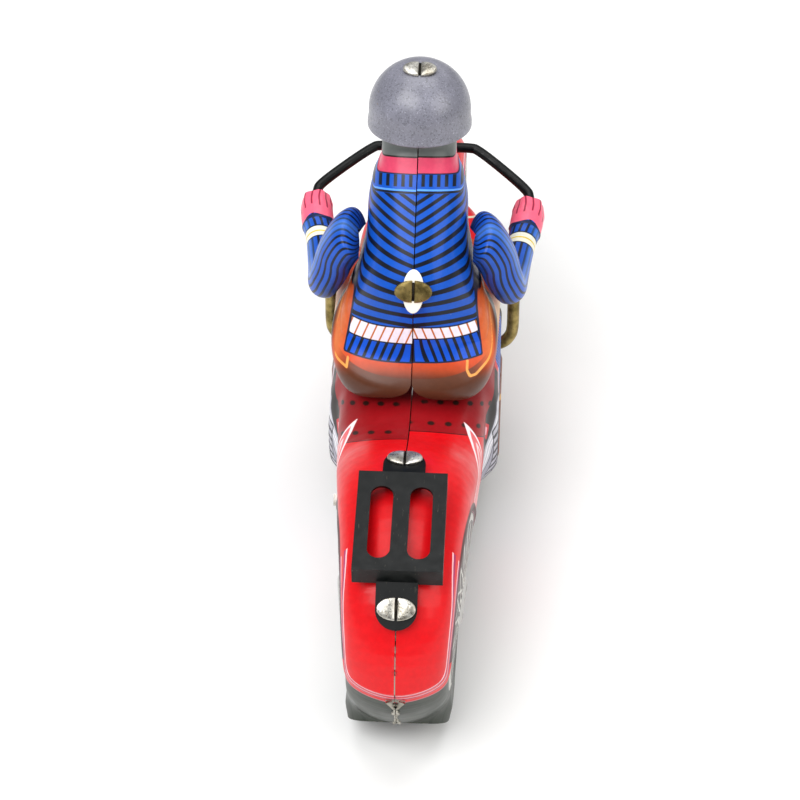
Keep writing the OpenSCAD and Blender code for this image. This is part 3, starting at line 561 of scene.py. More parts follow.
wheelInks = [
    {"area": "rim", "within": "wheel", "colour": "#C9C7C0"},
    {"area": "well", "within": "wheel", "colour": "#3A3030"},
    {"area": "spoke", "within": "wheel", "colour": "#D8D6CE"},
    {"area": "hub", "within": "wheel", "colour": "#B9B7B4"},
    {"area": "hubRing", "within": "wheel", "colour": "#3A3838"},
]
machineInks = [
    # painted shade: the red darkens towards the bottom of the body
    {"area": "shadeBelow", "soft": 26, "shift": 24, "colour": "#B00E16", "strength": 0.6},
    {"area": "frameGap", "colour": "#1D1A20"},
    {"area": "frame", "colour": "#D81420"},
    {"band": ("frame", 0.0, 0.4), "colour": "#F0B8B0"},
    # painted shadow: near-black under the saddle, behind the boot
    {"area": "shadowBehindBoot", "colour": "#241C1C"},
    {"area": "engine", "colour": "#9C9AAA"},
    {"band": ("engine", 0.0, 0.5), "colour": "#F2C4CC"},
    {"area": "pipe", "colour": "#C9C8D2"},
    {"band": ("pipe", 0.0, 0.35), "colour": "#3E3A44"},
    # painted highlight: pale lines along the exhaust pipe
    {"band": ("pipe", 1.3, 1.7), "colour": "#F4F2F6"},
    {"area": "silencer", "colour": "#B4B2BE"},
    {"area": "cylinder", "colour": "#B8B6C2"},
    {"stripes": ("fins", 0.42, 2.4), "within": "cylinder", "colour": "#34323C"},
    {"band": ("cylinder", -0.1, 0.3), "colour": "#34323C"},
    {"area": "crank", "colour": "#ACAAB6"},
    {"band": ("crank", 0.0, 0.4), "colour": "#3A3842"},
    {"area": "crankIn", "colour": "#C6C4CE"},
    {"band": ("crankIn", 0.0, 0.35), "colour": "#4A4852"},
    {"area": "bolts", "colour": "#3A3842"},
    {"area": "gearbox", "colour": "#BEBCC8"},
    {"band": ("gearbox", 0.0, 0.35), "colour": "#3A3842"},
    {"area": "badge", "colour": "#C81828"},
    {"band": ("badge", -0.35, 0.1), "colour": "#2A1418"},
    {"area": "badge", "shift": 1.1, "colour": "#F4A8B4"},
    {"area": "tank", "colour": "#EE1420"},
    {"band": ("tank", 0.9, 1.35), "colour": "#F4E6C8"},
    {"area": "leg", "colour": "#C8552A"},
    {"area": "sock", "colour": "#2A66D8"},
    {"stripes": ("sockRib", 0.4, 1.1), "within": "sock", "colour": "#16203A"},
    {"area": "boot", "colour": "#7A3A1E"},
    {"band": ("boot", 0.0, 0.4), "colour": "#2A1610"},
    {"area": "strap", "colour": "#D8A050"},
    {"area": "sole", "colour": "#2A2020"},
    {"area": "saddle", "colour": "#960E16"},
    {"band": ("border", -0.15, 0.35), "within": "saddle", "colour": "#3A0C0C"},
    {"area": "dots", "within": "saddle", "soft": 0.5, "colour": "#2C1410"},
    # painted highlight: the side panel is filled pink with a paler centre where it is red
    {"area": "panel", "soft": 0.5, "colour": "#E4686C"},
    {"area": "panel", "shift": 2.2, "soft": 3, "colour": "#F09C9C"},
    {"band": ("panel", -0.1, 0.45), "colour": "#FFE9EC"},
    {"band": ("panel", 1.3, 1.7), "colour": "#FFD6DA"},
    {"area": "band", "soft": 0.8, "colour": "#F0A6BC"},
    {"area": "wheel", "colour": "#41453F"},
    {"stripes": ("tread", 0.2, 2.2), "within": "wheel", "colour": "#343833", "strength": 0.7},
    {"band": ("wheel", 0.0, 0.3), "within": "tail", "colour": "#E88C94", "strength": 0.6},
    *wheelInks,
    # painted shade: dark maroon band along the rear mudguard's lower edge, on its sides
    {"band": ("guard", 0.05, 2.0), "within": "guardShadeSide", "soft": 0.3, "colour": "#451512"},
    {"band": ("guard", 2.35, 2.75), "within": "tail", "colour": "#FFC4CC"},
    {"band": ("guard", 1.75, 2.35), "within": "tail", "colour": "#9A1462", "strength": 0.8},
    {"band": ("guard", 4.6, 5.0), "within": "tail", "colour": "#FFC4CC"},
    {"band": ("guard", 4.0, 4.6), "within": "tail", "colour": "#9A1462", "strength": 0.8},
]
redTin = printedTin("red_lithographed_tin", "#DC0A14", machineInks)
grid = machineGrid()
for side, name in ((1, "right"), (-1, "left")):
    piece = sheet(
        "printed_body_" + name,
        mirrorX(grid, side),
        "body",
        [redTin, innerTin],
        machine["wall"],
        machineFields(grid, side),
        flip=side > 0,
        seam=side,
    )
    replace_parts(piece, "body_shell_" + name)
print("machine halves made")

# ---------------- rider halves ----------------

rider = {
    "stations": 300,
    "columns": 104,
    "wall": 0.4,
    "seamGap": 0.12,
    "stripePitch": 2.28,
    "firstStripe": -77.9,
}
# crown, trunk, thigh, knee: back y and z, front y and z, half-width, each edge's own distance from the seam
riderRows = [
    [11, 117.2, 16, 117.2, 3.2, 0, 0],
    [7, 115, 19.4, 115, 6.2, 0, 0],
    [4.2, 110.5, 22.4, 110.5, 9, 0, 0],
    [4.3, 105.4, 22.3, 104, 9.2, 0, 0],
    [5, 101.5, 21, 98.6, 8.4, 0, 0],
    [1.6, 98, 18.6, 94, 8.6, 0, 0],
    [-1.4, 95, 19.6, 89.6, 10, 0, 0],
    [-6.2, 89.5, 22, 84, 11.2, 0, 0],
    [-11.6, 83, 22.6, 77, 11.5, 0, 0],
    [-15.4, 76.8, 20.4, 72, 12.7, 0, 0],
    [-16.7, 69.5, 15.6, 69, 14.2, 0, 0],
    [-18.6, 61.5, 9.5, 67, 16.6, 0, 0],
    [-23.8, 55.2, 6.5, 65.5, 18.8, 1, 1],
    [-20.6, 50.6, 9, 64, 19, 10, 6],
    [-10, 47.6, 13, 62.4, 19.2, 15.6, 11.5],
    [3, 46, 19, 60.4, 19.3, 16.6, 14],
    [15, 44.6, 25, 56.4, 19, 16.8, 15],
    [22, 45.5, 28, 51, 17.8, 17, 16],
]


def downBack(y, z):
    # distance down the slope of the back
    return -0.515 * y - 0.858 * z


def riderGrid():
    u, v = np.meshgrid(
        np.linspace(0, 1, rider["stations"]), crowd(np.linspace(0, 1, rider["columns"])), indexing="ij"
    )
    r = curve(riderRows, u)
    low = np.maximum(r[..., 5], 0) * (1 - v) + np.maximum(r[..., 6], 0) * v
    round_ = np.power(np.maximum(1 - np.abs(2 * v - 1) ** 2.4, 0), 1 / 2.4)
    round_[[0, -1]] = 0
    x = low + (r[..., 4] - low) * round_
    y = r[..., 0] + (r[..., 2] - r[..., 0]) * v
    z = r[..., 1] + (r[..., 3] - r[..., 1]) * v
    # pressed relief: collar, belt and brow stand out a little from the half
    h = rowSlope(u, v, y, z)
    x = x + 0.25 * smooth((h + 84.9) / 0.5) * smooth((-80.6 - h) / 0.5) * smooth(x / 2) * (u < 0.5)
    x = x + 0.3 * smooth((h + 50.3) / 0.5) * smooth((-46.4 - h) / 0.5) * smooth(x / 2) * (u < 0.68)
    return np.stack([np.maximum(x, rider["seamGap"]), y, z], -1), u, v


def rowSlope(u, v, y, z):
    # down-the-back distance behind, turning into the row's own value round the front
    back = curve(riderRows, u)
    own = downBack(y, z)
    return own + (downBack(back[..., 0], back[..., 1]) - own) * smooth((v - 0.22) / 0.36)


def riderFields(grid, u, v, side):
    x, y, z = grid[..., 0], grid[..., 1], grid[..., 2]
    h = rowSlope(u, v, y, z) + (0.0 if side > 0 else -0.15)
    rise = 1.6 * (np.minimum(x, 18) / 15) ** 3 * smooth((0.62 - v) / 0.3)
    slope = 0.68 - 0.56 * smooth((h + 80) / 28)
    beltLow = h + (47.2 if side > 0 else 46.1) + rise
    sideEdge = np.minimum(x - 12.3 - 0.164 * np.maximum(h + 63.5, 0), h + 64.5)
    trousers = np.maximum(np.maximum(h + 41.9 + rise, (u - 0.70) * 80), sideEdge)
    pocket = [(12.4, -42.4), (12.4, -40.2), (13.1, -38.9), (14.4, -39.3), (18.2, -43.4)]
    if side < 0:
        pocket = [(14.7, -42.2), (14.9, -40.0), (17.6, -41.9)]
    # painted shade: the trousers darken towards the seat and under the thigh
    seatShadeDark = np.where(u < 0.76, h + 38.2, -9) - 1.2 * smooth((x - 12) / 6)
    underThigh = np.where(u > 0.68, (0.2 - v) * 26, -9)
    front = np.minimum(y - 13.5, 12.5 - np.abs(z - 103))
    eyeX, eyeZ = 3.6, 99.9
    fields = {
        "edge": x,
        "head": -84.6 - h,
        "guard": np.minimum(-88.3 - h, (0.44 - v) * 24),
        "collarRib": (x + 0.35) / 1.72,
        "ribInside": np.minimum(h + 84.35, -81.75 - h),
        "sweater": np.minimum(np.minimum(h + 80.2, -h - 50.1 - rise), -sideEdge),
        "neckline": h + 81.2,
        "phase": (h - rider["firstStripe"] + slope * x) / rider["stripePitch"],
        "belt": np.minimum(np.minimum(h + 50.1 + rise, -beltLow), -sideEdge),
        "beltBar": (x - 0.42 * (h + 50)) / 2.05,
        "hem": np.minimum(beltLow, -trousers),
        "hemRib": (x - 0.4 * (h + 46) * smooth(x / 4)) / 1.95,
        "trousers": trousers,
        # painted shade on the trousers, towards the seat and under the thigh
        "seatShadeBrown": np.where(u < 0.76, h + 40.2, -9),
        "seatShadeDark": seatShadeDark,
        "underThigh": underThigh,
        # painted highlight along the top of the thigh and the outer side of the hips
        "thighHighlight": np.maximum(
            np.minimum((0.12 - np.abs(v - 0.62)) * 40, (u - 0.67) * 60),
            np.minimum(sideEdge - 3, -44 - h),
        ),
        "pocket": 0.28 - lineDistance(x, np.where(u < 0.74, h, 0), pocket),
        "front": front,
        "eyeWhite": np.minimum(front, 1.0 - np.hypot((x - eyeX) / 1.7, (z - eyeZ) / 1.05)),
        "iris": np.minimum(front, 0.68 - np.hypot(x - eyeX + 0.1, z - eyeZ)),
        "lid": np.minimum(front, 0.2 - np.abs(np.hypot((x - eyeX) / 1.75, (z - eyeZ) / 1.1) - 1)),
        "brow": np.minimum(front, stroke(x, z, [(2.0, 101.5), (3.6, 101.9), (5.5, 101.4)], 0.5)),
        "mouth": np.minimum(front, stroke(x, z, [(0, 95.7), (1.5, 95.75), (2.7, 96.05)], 0.75)),
        "lipLine": np.minimum(front, stroke(x, z, [(0, 95.8), (1.6, 95.85), (3.0, 96.15)], 0.22)),
        "nostril": np.minimum(front, stroke(x, z, [(0.5, 97.6), (1.1, 97.8)], 0.4)),
        "cheek": 2.6 - np.hypot(x - 5.4, z - 97.4) - 9 * (y < 13),
        "hair": convex(y, z, [(4, 100.5), (11.5, 101.5), (12.5, 112), (3, 112)]),
        "ear": 1.9 - np.hypot((y - 12.6) / 0.75, z - 101.2),
    }
    return fields


riderInks = [
    {"area": "head", "colour": "#E2486A"},
    {"area": "front", "soft": 5, "colour": "#F29A9A"},
    {"area": "cheek", "soft": 2.4, "colour": "#E8606E", "strength": 0.7},
    {"area": "hair", "soft": 0.2, "colour": "#4A3A36"},
    {"area": "ear", "colour": "#E87488"},
    {"band": ("ear", -0.15, 0.15), "colour": "#8A2A3A"},
    {"area": "guard", "colour": "#676C6A"},
    {"band": ("guard", -0.3, 0.05), "colour": "#141614"},
    {"area": "eyeWhite", "colour": "#F6F4F0"},
    {"area": "lid", "colour": "#3A2622"},
    {"area": "iris", "colour": "#2A2E38"},
    {"area": "brow", "colour": "#3E2C26"},
    {"area": "mouth", "soft": 0.25, "colour": "#C02A3C"},
    {"area": "lipLine", "colour": "#6A1420"},
    {"area": "nostril", "colour": "#B04A54"},
    {"stripes": ("phase", 0.42, 2.28), "within": "sweater", "colour": "#0C1220"},
    {"stripes": ("collarRib", 0.46, 1.72), "within": "ribInside", "colour": "#0E1624"},
    {"band": ("neckline", 0.0, 0.42), "colour": "#5AA0FF"},
    {"band": ("neckline", 0.42, 0.95), "colour": "#0E1624"},
    {"band": ("head", -0.22, 0.06), "colour": "#16203A"},
    {"area": "hem", "colour": "#0C50CA"},
    {"stripes": ("hemRib", 0.4, 1.95), "within": "hem", "colour": "#0E1624"},
    {"area": "belt", "colour": "#EFE8F4"},
    {"stripes": ("beltBar", 0.2, 2.05), "within": "belt", "colour": "#C0692C"},
    {"band": ("belt", -0.1, 0.22), "colour": "#12161E"},
    {"area": "trousers", "colour": "#D04A20"},
    # painted highlight: pale tan along the thigh top and the outer hips
    {"area": "thighHighlight", "soft": 9, "within": "trousers", "colour": "#E6BE78", "strength": 0.75},
    # painted shade: brown, then near-black towards the seat, darker brown under the thigh
    {"area": "seatShadeBrown", "soft": 5.2, "within": "trousers", "colour": "#7A3412"},
    {"area": "seatShadeDark", "soft": 4.2, "within": "trousers", "colour": "#1C0E06", "strength": 0.97},
    {"area": "underThigh", "soft": 5, "within": "trousers", "colour": "#5A3422", "strength": 0.85},
    {"area": "pocket", "soft": 0.25, "within": "trousers", "colour": "#F0A050"},
    {"band": ("trousers", -0.08, 0.3), "colour": "#12203E"},
]
blueTin = printedTin("blue_lithographed_tin", "#0A52BE", riderInks)
grid, uRider, vRider = riderGrid()
for side, name in ((1, "right"), (-1, "left")):
    piece = sheet(
        "printed_rider_" + name,
        mirrorX(grid, side),
        "body",
        [blueTin, innerTin],
        rider["wall"],
        riderFields(grid, uRider, vRider, side),
        flip=side < 0,
        seam=side,
    )
    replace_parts(piece, "rider_shell_" + name)
print("rider halves made")

# ---------------- arms ----------------

arm = {
    "stations": 170,
    "columns": 72,
    "open": 50,
    "wall": 0.4,
    "stripePitch": 1.62,
    "up": (0.7071, 0, 0.7071),
}
# trunk to knuckles: centre, radius along the side, radius outwards
armRows = [
    [13.2, 1.2, 81.4, 7, 4.3],
    [15.1, 1.5, 79.8, 7.4, 4.9],
    [17.7, 1.8, 74.8, 6.8, 4.9],
    [19.6, 1.8, 69, 5.6, 4.6],
    [20.9, 4, 64.8, 4.7, 4.2],
    [21.9, 10, 63, 4, 3.8],
    [23, 17, 63, 3.6, 3.5],
    [24, 22, 63.4, 3.5, 3.3],
    [24.7, 26, 64.2, 4, 3.6],
    [25.3, 30, 65.2, 3.9, 3.6],
    [25.6, 32.8, 66, 3.3, 3.1],
]


def armGrid():
    # open channel round the arm's centre line, with its gap down and inwards
    u, v = np.meshgrid(np.linspace(0, 1, arm["stations"]), np.linspace(0, 1, arm["columns"]), indexing="ij")
    r = curve(armRows, u)
    along = curve(armRows, np.minimum(u + 0.02, 1))[..., :3] - curve(armRows, np.maximum(u - 0.02, 0))[
        ...,
        :3,
    ]
    along /= np.linalg.norm(along, axis=2, keepdims=True)
    up = np.array(arm["up"])
    outward = up - (along @ up)[..., None] * along
    outward /= np.linalg.norm(outward, axis=2, keepdims=True)
    sideways = np.cross(along, outward)
    angle = np.radians(180 + arm["open"] + (360 - 2 * arm["open"]) * v)[..., None]
    # knuckles: four low ridges across the back of the hand
    knuckle = 1 + 0.06 * smooth((u - 0.86) / 0.05) * np.cos(np.pi * 8 * (v - 0.5))
    wrist = 1 + 0.05 * bell((u - 0.765) / 0.012)
    # the shoulder end is drawn in to a rounded cap
    shoulder = np.maximum(roll(u / 0.07), 0.06)
    reach = (knuckle * wrist * shoulder)[..., None]
    point = r[..., :3] + reach * (r[..., 4:5] * np.cos(angle) * outward + r[..., 3:4] * np.sin(angle) * sideways)
    return point, u, v


def armFields(grid, u, v):
    round_ = arcLength(grid, 1)
    middle = round_ - round_[:, [arm["columns"] // 2]]
    y = grid[..., 1]
    total = round_[:, [-1]]
    hand = y - 24.6 + 0.4 * np.sin(middle)
    cuff = np.minimum(y - 18.0, 21.2 - y)
    return {
        "edge": np.minimum(np.minimum(round_, total - round_), arcLength(grid, 0)),
        "phase": (middle + 0.35 + 0.25 * np.sin(5 * u)) / arm["stripePitch"],
        "hand": hand,
        "cuff": cuff,
        "cuffLine": 0.22 - np.abs(y - 19.6),
        "wristEdge": np.minimum(y - 23.6, 24.7 - y),
        "finger": np.minimum(hand - 2.6, 0.22 - np.abs(middle / 1.9 - np.round(middle / 1.9)) * 1.9),
        # painted shade towards the open underside of the sleeve
        "under": np.maximum(np.abs(middle) - total * 0.36, -5),
        # painted highlight along the top ridge of the sleeve
        "ridgeHighlight": 1.4 - np.abs(middle - 1.2),
    }


armInks = [
    {"stripes": ("phase", 0.38, 1.62), "colour": "#101A2E"},
    # painted highlight: paler blue along the top ridge of the sleeve
    {"area": "ridgeHighlight", "soft": 3, "colour": "#6AA2F4", "strength": 0.35},
    # painted shade: darker blue towards the sleeve's underside
    {"area": "under", "soft": 3, "colour": "#1A2A52", "strength": 0.6},
    {"area": "cuff", "colour": "#F2EFDC"},
    {"area": "cuffLine", "colour": "#E8C83C"},
    {"band": ("cuff", -0.35, 0.0), "colour": "#142036"},
    {"area": "wristEdge", "colour": "#1A2A52"},
    {"area": "hand", "colour": "#FF6A86"},
    {"area": "finger", "soft": 0.2, "colour": "#9A2440"},
]
sleeveTin = printedTin("sleeve_lithographed_tin", "#1A54BE", armInks)
grid, uArm, vArm = armGrid()
for side, name in ((1, "right"), (-1, "left")):
    piece = sheet(
        "printed_arm_" + name,
        mirrorX(grid, side),
        "body",
        [sleeveTin, innerTin],
        arm["wall"],
        armFields(grid, uArm, vArm),
        flip=side > 0,
    )
    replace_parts(piece, "arm_" + name)
print("arms made")

# ---------------- front mudguard and printed wheel ----------------

front = {
    "guardR": 27.5,
    "halfWidth": 8.6,
    "roll": 5.0,
    "stations": 300,
    "columns": 64,
    "wall": 0.4,
    "hole": 2.0,
}


def forkGrid():
    # polar sheet round the printed wheel, with a low neck under the steering plate, open below
    i, j = np.meshgrid(np.arange(front["stations"]), np.linspace(0, 1, front["columns"]), indexing="ij")
    angle = 360 * i / front["stations"]
    v = 1 - j
    edge = front["guardR"] + 2 * np.exp(-(((angle - 117) / 13) ** 2))
    r = front["hole"] + (edge - front["hole"]) * (1 - v**1.5)
    width = front["halfWidth"] + 1.2 * smooth((7 - r) / 4) + 0.7 * smooth((4 - np.abs(r - 20)) / 3)
    opening = smooth((48 - np.abs(angle - 270)) / 10)
    x = width * roll((edge - r) / front["roll"] + opening)
    a = np.radians(angle)
    return np.stack([np.maximum(x, 0.12), frontC[0] + r * np.cos(a), frontC[1] + r * np.sin(a)], -1)


def forkFields(grid):
    x, y, z = grid[..., 0], grid[..., 1], grid[..., 2]
    r = np.hypot(y - frontC[0], z - frontC[1])
    a, b = r - 20.5, z - 26.5 - 0.2 * (y - frontC[0])
    k = np.clip(0.5 + (b - a) / 8, 0, 1)
    guard = b + (a - b) * k - 4 * k * (1 - k)
    leg = stroke(y, z, [(52, 60), (58, 44), (66.5, 29)], 5.0)
    fields = {
        "edge": np.minimum(x, r - front["hole"]),
        "guard": guard,
        "wheel": np.minimum(-guard, 29 - r),
        "leg": leg,
        "axleBoss": 3.8 - r,
    }
    fields.update(wheelFields(y, z, frontC))
    return fields


forkInks = [
    {"area": "wheel", "colour": "#41453F"},
    {"stripes": ("tread", 0.2, 2.2), "within": "wheel", "colour": "#343833", "strength": 0.7},
    *wheelInks,
    {"band": ("guard", 0.0, 0.5), "colour": "#451512"},
    {"band": ("guard", 1.9, 2.3), "colour": "#FFC4CC"},
    {"band": ("guard", 1.3, 1.9), "colour": "#9A1462", "strength": 0.8},
    {"area": "leg", "colour": "#B9B7C2"},
    {"band": ("leg", 0.0, 0.35), "colour": "#35323A"},
    # painted highlight: pale lines along the fork leg
    {"band": ("leg", 1.6, 2.1), "colour": "#F2F0F4"},
    {"area": "axleBoss", "colour": "#CFCDD2"},
    {"band": ("axleBoss", 0.0, 0.3), "colour": "#35323A"},
]
guardTin = printedTin("mudguard_lithographed_tin", "#E0121C", forkInks)
grid = forkGrid()
for side, name in ((1, "right"), (-1, "left")):
    piece = sheet(
        "printed_fork_" + name,
        mirrorX(grid, side),
        "fork",
        [guardTin, innerTin],
        front["wall"],
        forkFields(grid),
        wrap=True,
        flip=side > 0,
        seam=side,
    )
    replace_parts(piece, "fork_" + name)
print("front stampings made")

# ---------------- turned and bent parts ----------------


def revolve(name, profile, centre, axis, up, body, materials, slots=None, count=128, squash=1.0):
    # closed profile of (along, radius) turned round an axis; radius 0 makes a pole
    axis, up = Vector(axis).normalized(), Vector(up).normalized()
    across = axis.cross(up)
    profile = np.asarray(profile, float)
    n = len(profile)
    points, rings = [], []
    for along, radius in profile:
        if radius < 1e-6:
            rings.append([len(points)])
            points.append(np.array(centre) + along * np.array(axis))
            continue
        a = np.arange(count) * 2 * np.pi / count
        ring = np.array(centre) + along * np.array(axis) + radius * (
            np.cos(a)[:, None] * np.array(up) + squash * np.sin(a)[:, None] * np.array(across)
        )
        rings.append(list(range(len(points), len(points) + count)))
        points.extend(ring)
    faces, kinds = [], []
    for k in range(n if len(rings[0]) > 1 else n - 1):
        one, two = rings[k], rings[(k + 1) % n]
        if len(one) == 1 and len(two) == 1:
            continue
        for j in range(count):
            follow = (j + 1) % count
            if len(one) == 1:
                faces.append([one[0], two[j], two[follow]])
            elif len(two) == 1:
                faces.append([one[follow], one[j], two[0]])
            else:
                faces.append([one[follow], one[j], two[j], two[follow]])
            kinds.append(0 if slots is None else slots[k])
    return newObject(name, points, faces, body, materials, slots=kinds)


def filleted(points, radius, steps=6):
    # rounds every corner of an open or closed outline given as (along, radius) pairs
    out = []
    points = [np.array(p, float) for p in points]
    for k, p in enumerate(points):
        before, after = points[k - 1], points[(k + 1) % len(points)]
        a, b = before - p, after - p
        la, lb = np.linalg.norm(a), np.linalg.norm(b)
        r = min(radius, la * 0.45, lb * 0.45)
        if (k in (0, len(points) - 1) and p[1] < 1e-6) or r < 1e-3:
            out.append(p)
            continue
        start, end = p + a / la * r, p + b / lb * r
        for t in np.linspace(0, 1, steps):
            out.append((1 - t) ** 2 * start + 2 * t * (1 - t) * p + t * t * end)
    return out


def wire(name, points, radius, body, material, count=160, around=24):
    # round wire along a smooth path, ends rounded like a cropped and tumbled end
    path = curve(points, np.linspace(0, 1, count))
    tangent = np.gradient(path, axis=0)
    tangent /= np.linalg.norm(tangent, axis=1, keepdims=True)
    normal = np.cross(tangent[0], [0.0, 0.0, 1.0])
    if np.linalg.norm(normal) < 0.1:
        normal = np.cross(tangent[0], [0.0, 1.0, 0.0])
    rings = []
    a = np.arange(around) * 2 * np.pi / around
    for k in range(count):
        normal = normal - tangent[k] * (normal @ tangent[k])
        normal /= np.linalg.norm(normal)
        other = np.cross(tangent[k], normal)
        circle = np.cos(a)[:, None] * normal + np.sin(a)[:, None] * other
        if k == 0:
            for t in (0.06, 0.35, 0.7):
                rings.append(path[0] + tangent[0] * (0.3 * t) + radius * math.sqrt(1 - (1 - t) ** 2) * circle)
            continue
        if k == count - 1:
            for t in (0.7, 0.35, 0.06):
                rings.append(path[-1] - tangent[-1] * (0.3 * t) + radius * math.sqrt(1 - (1 - t) ** 2) * circle)
            continue
        if 2 < k < count - 3:
            rings.append(path[k] + radius * circle)
    n = len(rings)
    points = np.concatenate([*rings, path[:1], path[-1:]])
    index = np.arange(n * around).reshape(n, around)
    follow = np.roll(index, -1, 1)
    faces = np.stack([index[:-1], follow[:-1], follow[1:], index[1:]], -1).reshape(-1, 4).tolist()
    faces += [[n * around, b, a_] for a_, b in zip(index[0], follow[0])]
    faces += [[n * around + 1, a_, b] for a_, b in zip(index[-1], follow[-1])]
    return newObject(name, points, faces, body, [material])


def speckled(name, base, dark, light, rough=0.45, scuff=None):
    # sprayed hammered enamel: grey with fine dark and light specks and a few long scuffs
    m, tree, shader, place = newMaterial(name)
    colour = mixColour(
        tree,
        ramp(tree, noise(tree, place, 0.45, 3, 0.6), 0.56, 0.62),
        linear(base),
        linear(dark),
    )
    colour = mixColour(tree, ramp(tree, noise(tree, place, 0.33, 2, 0.6), 0.62, 0.66), colour, linear(light))
    broad = ramp(tree, noise(tree, place, 6, 3), 0.35, 0.7, 0.86, 1.08)
    colour = mixColour(tree, 1.0, colour, broad, "MULTIPLY")
    if scuff:
        worn = ramp(tree, noise(tree, place, 3.4, 7, 0.75), 0.66, 0.7)
        colour = mixColour(tree, worn, colour, linear(scuff))
    tree.links.new(colour, shader.inputs["Base Color"])
    grain = noise(tree, place, 0.5, 3, 0.6)
    tree.links.new(ramp(tree, grain, 0.3, 0.7, rough - 0.08, rough + 0.1), shader.inputs["Roughness"])
    shader.inputs["Coat Weight"].default_value = 0.3
    shader.inputs["Coat Roughness"].default_value = 0.2
    bump = addNode(tree, "ShaderNodeBump", {"Strength": 0.35, "Distance": 0.0001}, {"Height": grain}).outputs[0]
    tree.links.new(bump, shader.inputs["Normal"])
    return m


def enamel(name, base, chip, rough, chips=0.69):
    # stoved black or white enamel over sheet: glossy, fine scratches, edges chipped to metal
    m, tree, shader, place = newMaterial(name)
    streaks = addNode(tree, "ShaderNodeMapping", {"Scale": (1, 0.12, 0.5)}, {"Vector": place}).outputs[0]
    scratch = ramp(tree, noise(tree, streaks, 0.5, 4, 0.7), 0.64, 0.68)
    worn = ramp(tree, noise(tree, place, 1.6, 7, 0.75), chips, chips + 0.02)
    bare = addNode(tree, "ShaderNodeMath", {"operation": "MULTIPLY", 1: 0.35}, {0: scratch}).outputs[0]
    bare = addNode(tree, "ShaderNodeMath", {"operation": "MAXIMUM"}, {0: bare, 1: worn}).outputs[0]
    colour = mixColour(tree, bare, linear(base), linear(chip))
    tree.links.new(colour, shader.inputs["Base Color"])
    dull = addNode(tree, "ShaderNodeMath", {"operation": "MULTIPLY", 1: 0.6}, {0: worn}).outputs[0]
    tree.links.new(dull, shader.inputs["Metallic"])
    shader.inputs["Specular IOR Level"].default_value = 0.24
    tree.links.new(
        ramp(tree, noise(tree, place, 2, 4), 0.3, 0.7, rough - 0.06, rough + 0.12),
        shader.inputs["Roughness"],
    )
    bump = addNode(
        tree, "ShaderNodeBump", {"Strength": 0.3, "Distance": 0.00006}, {"Height": worn}
    ).outputs[0]
    tree.links.new(bump, shader.inputs["Normal"])
    return m


# grey hammered enamel with a brown scuff, as sprayed over the crash helmet's dome
helmetPaint = speckled("speckled_grey_enamel", "#7C7C88", "#62636C", "#9A9AA6", 0.36, "#6E6258")
# black japan: deep gloss with grey-brown rubbed metal at the corners
blackJapan = enamel("black_japan", "#030606", "#6C675A", 0.34)
# white enamel of the oval washer, yellowed, chipped at its rim
whiteEnamel = enamel("white_enamel", "#EFECE0", "#8A7A5C", 0.3, 0.72)

helmet = {
    "centre": (0, 13, 107.2),
    "radius": 11.4,
    "lean": 8,
    "lip": 11.65,
    "drop": -3.9,
    "wall": 0.5,
    "rollR": 0.3,
}


def helmetProfile():
    # closed section: outer dome, rolled lip, inner dome one wall in
    r, lip = helmet["radius"], helmet["lip"]
    outer = [(r * math.sin(a), r * math.cos(a)) for a in np.radians(np.linspace(90, 0, 40))]
    low = helmet["drop"]
    outer += [(low * 0.35, r + 0.02), (low * 0.65, lip - 0.02)]
    cy, cr = low + helmet["rollR"], lip - helmet["rollR"]
    outer += [
        (cy - helmet["rollR"] * math.sin(a), cr + helmet["rollR"] * math.cos(a))
        for a in np.radians(np.linspace(10, 200, 14))
    ]
    inner = r - helmet["wall"]
    outer += [(inner * math.sin(a), inner * math.cos(a)) for a in np.radians(np.linspace(-2, 90, 30))]
    outer[-1] = (outer[-1][0], 0)
    outer[0] = (outer[0][0], 0)
    return outer


lean = math.radians(helmet["lean"])
helmetPiece = revolve(
    "enamelled_helmet",
    helmetProfile(),
    helmet["centre"],
    (0, math.sin(lean), math.cos(lean)),
    (0, math.cos(lean), -math.sin(lean)),
    "body",
    [helmetPaint],
)
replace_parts(helmetPiece, "helmet")
print("helmet made")


# dark stem painted as the shade down in the slots of the clips
slotShade = metal("slot_shade_stem", "#3A3630", "#1C1A17", 0.6, 0.6, 0.3)


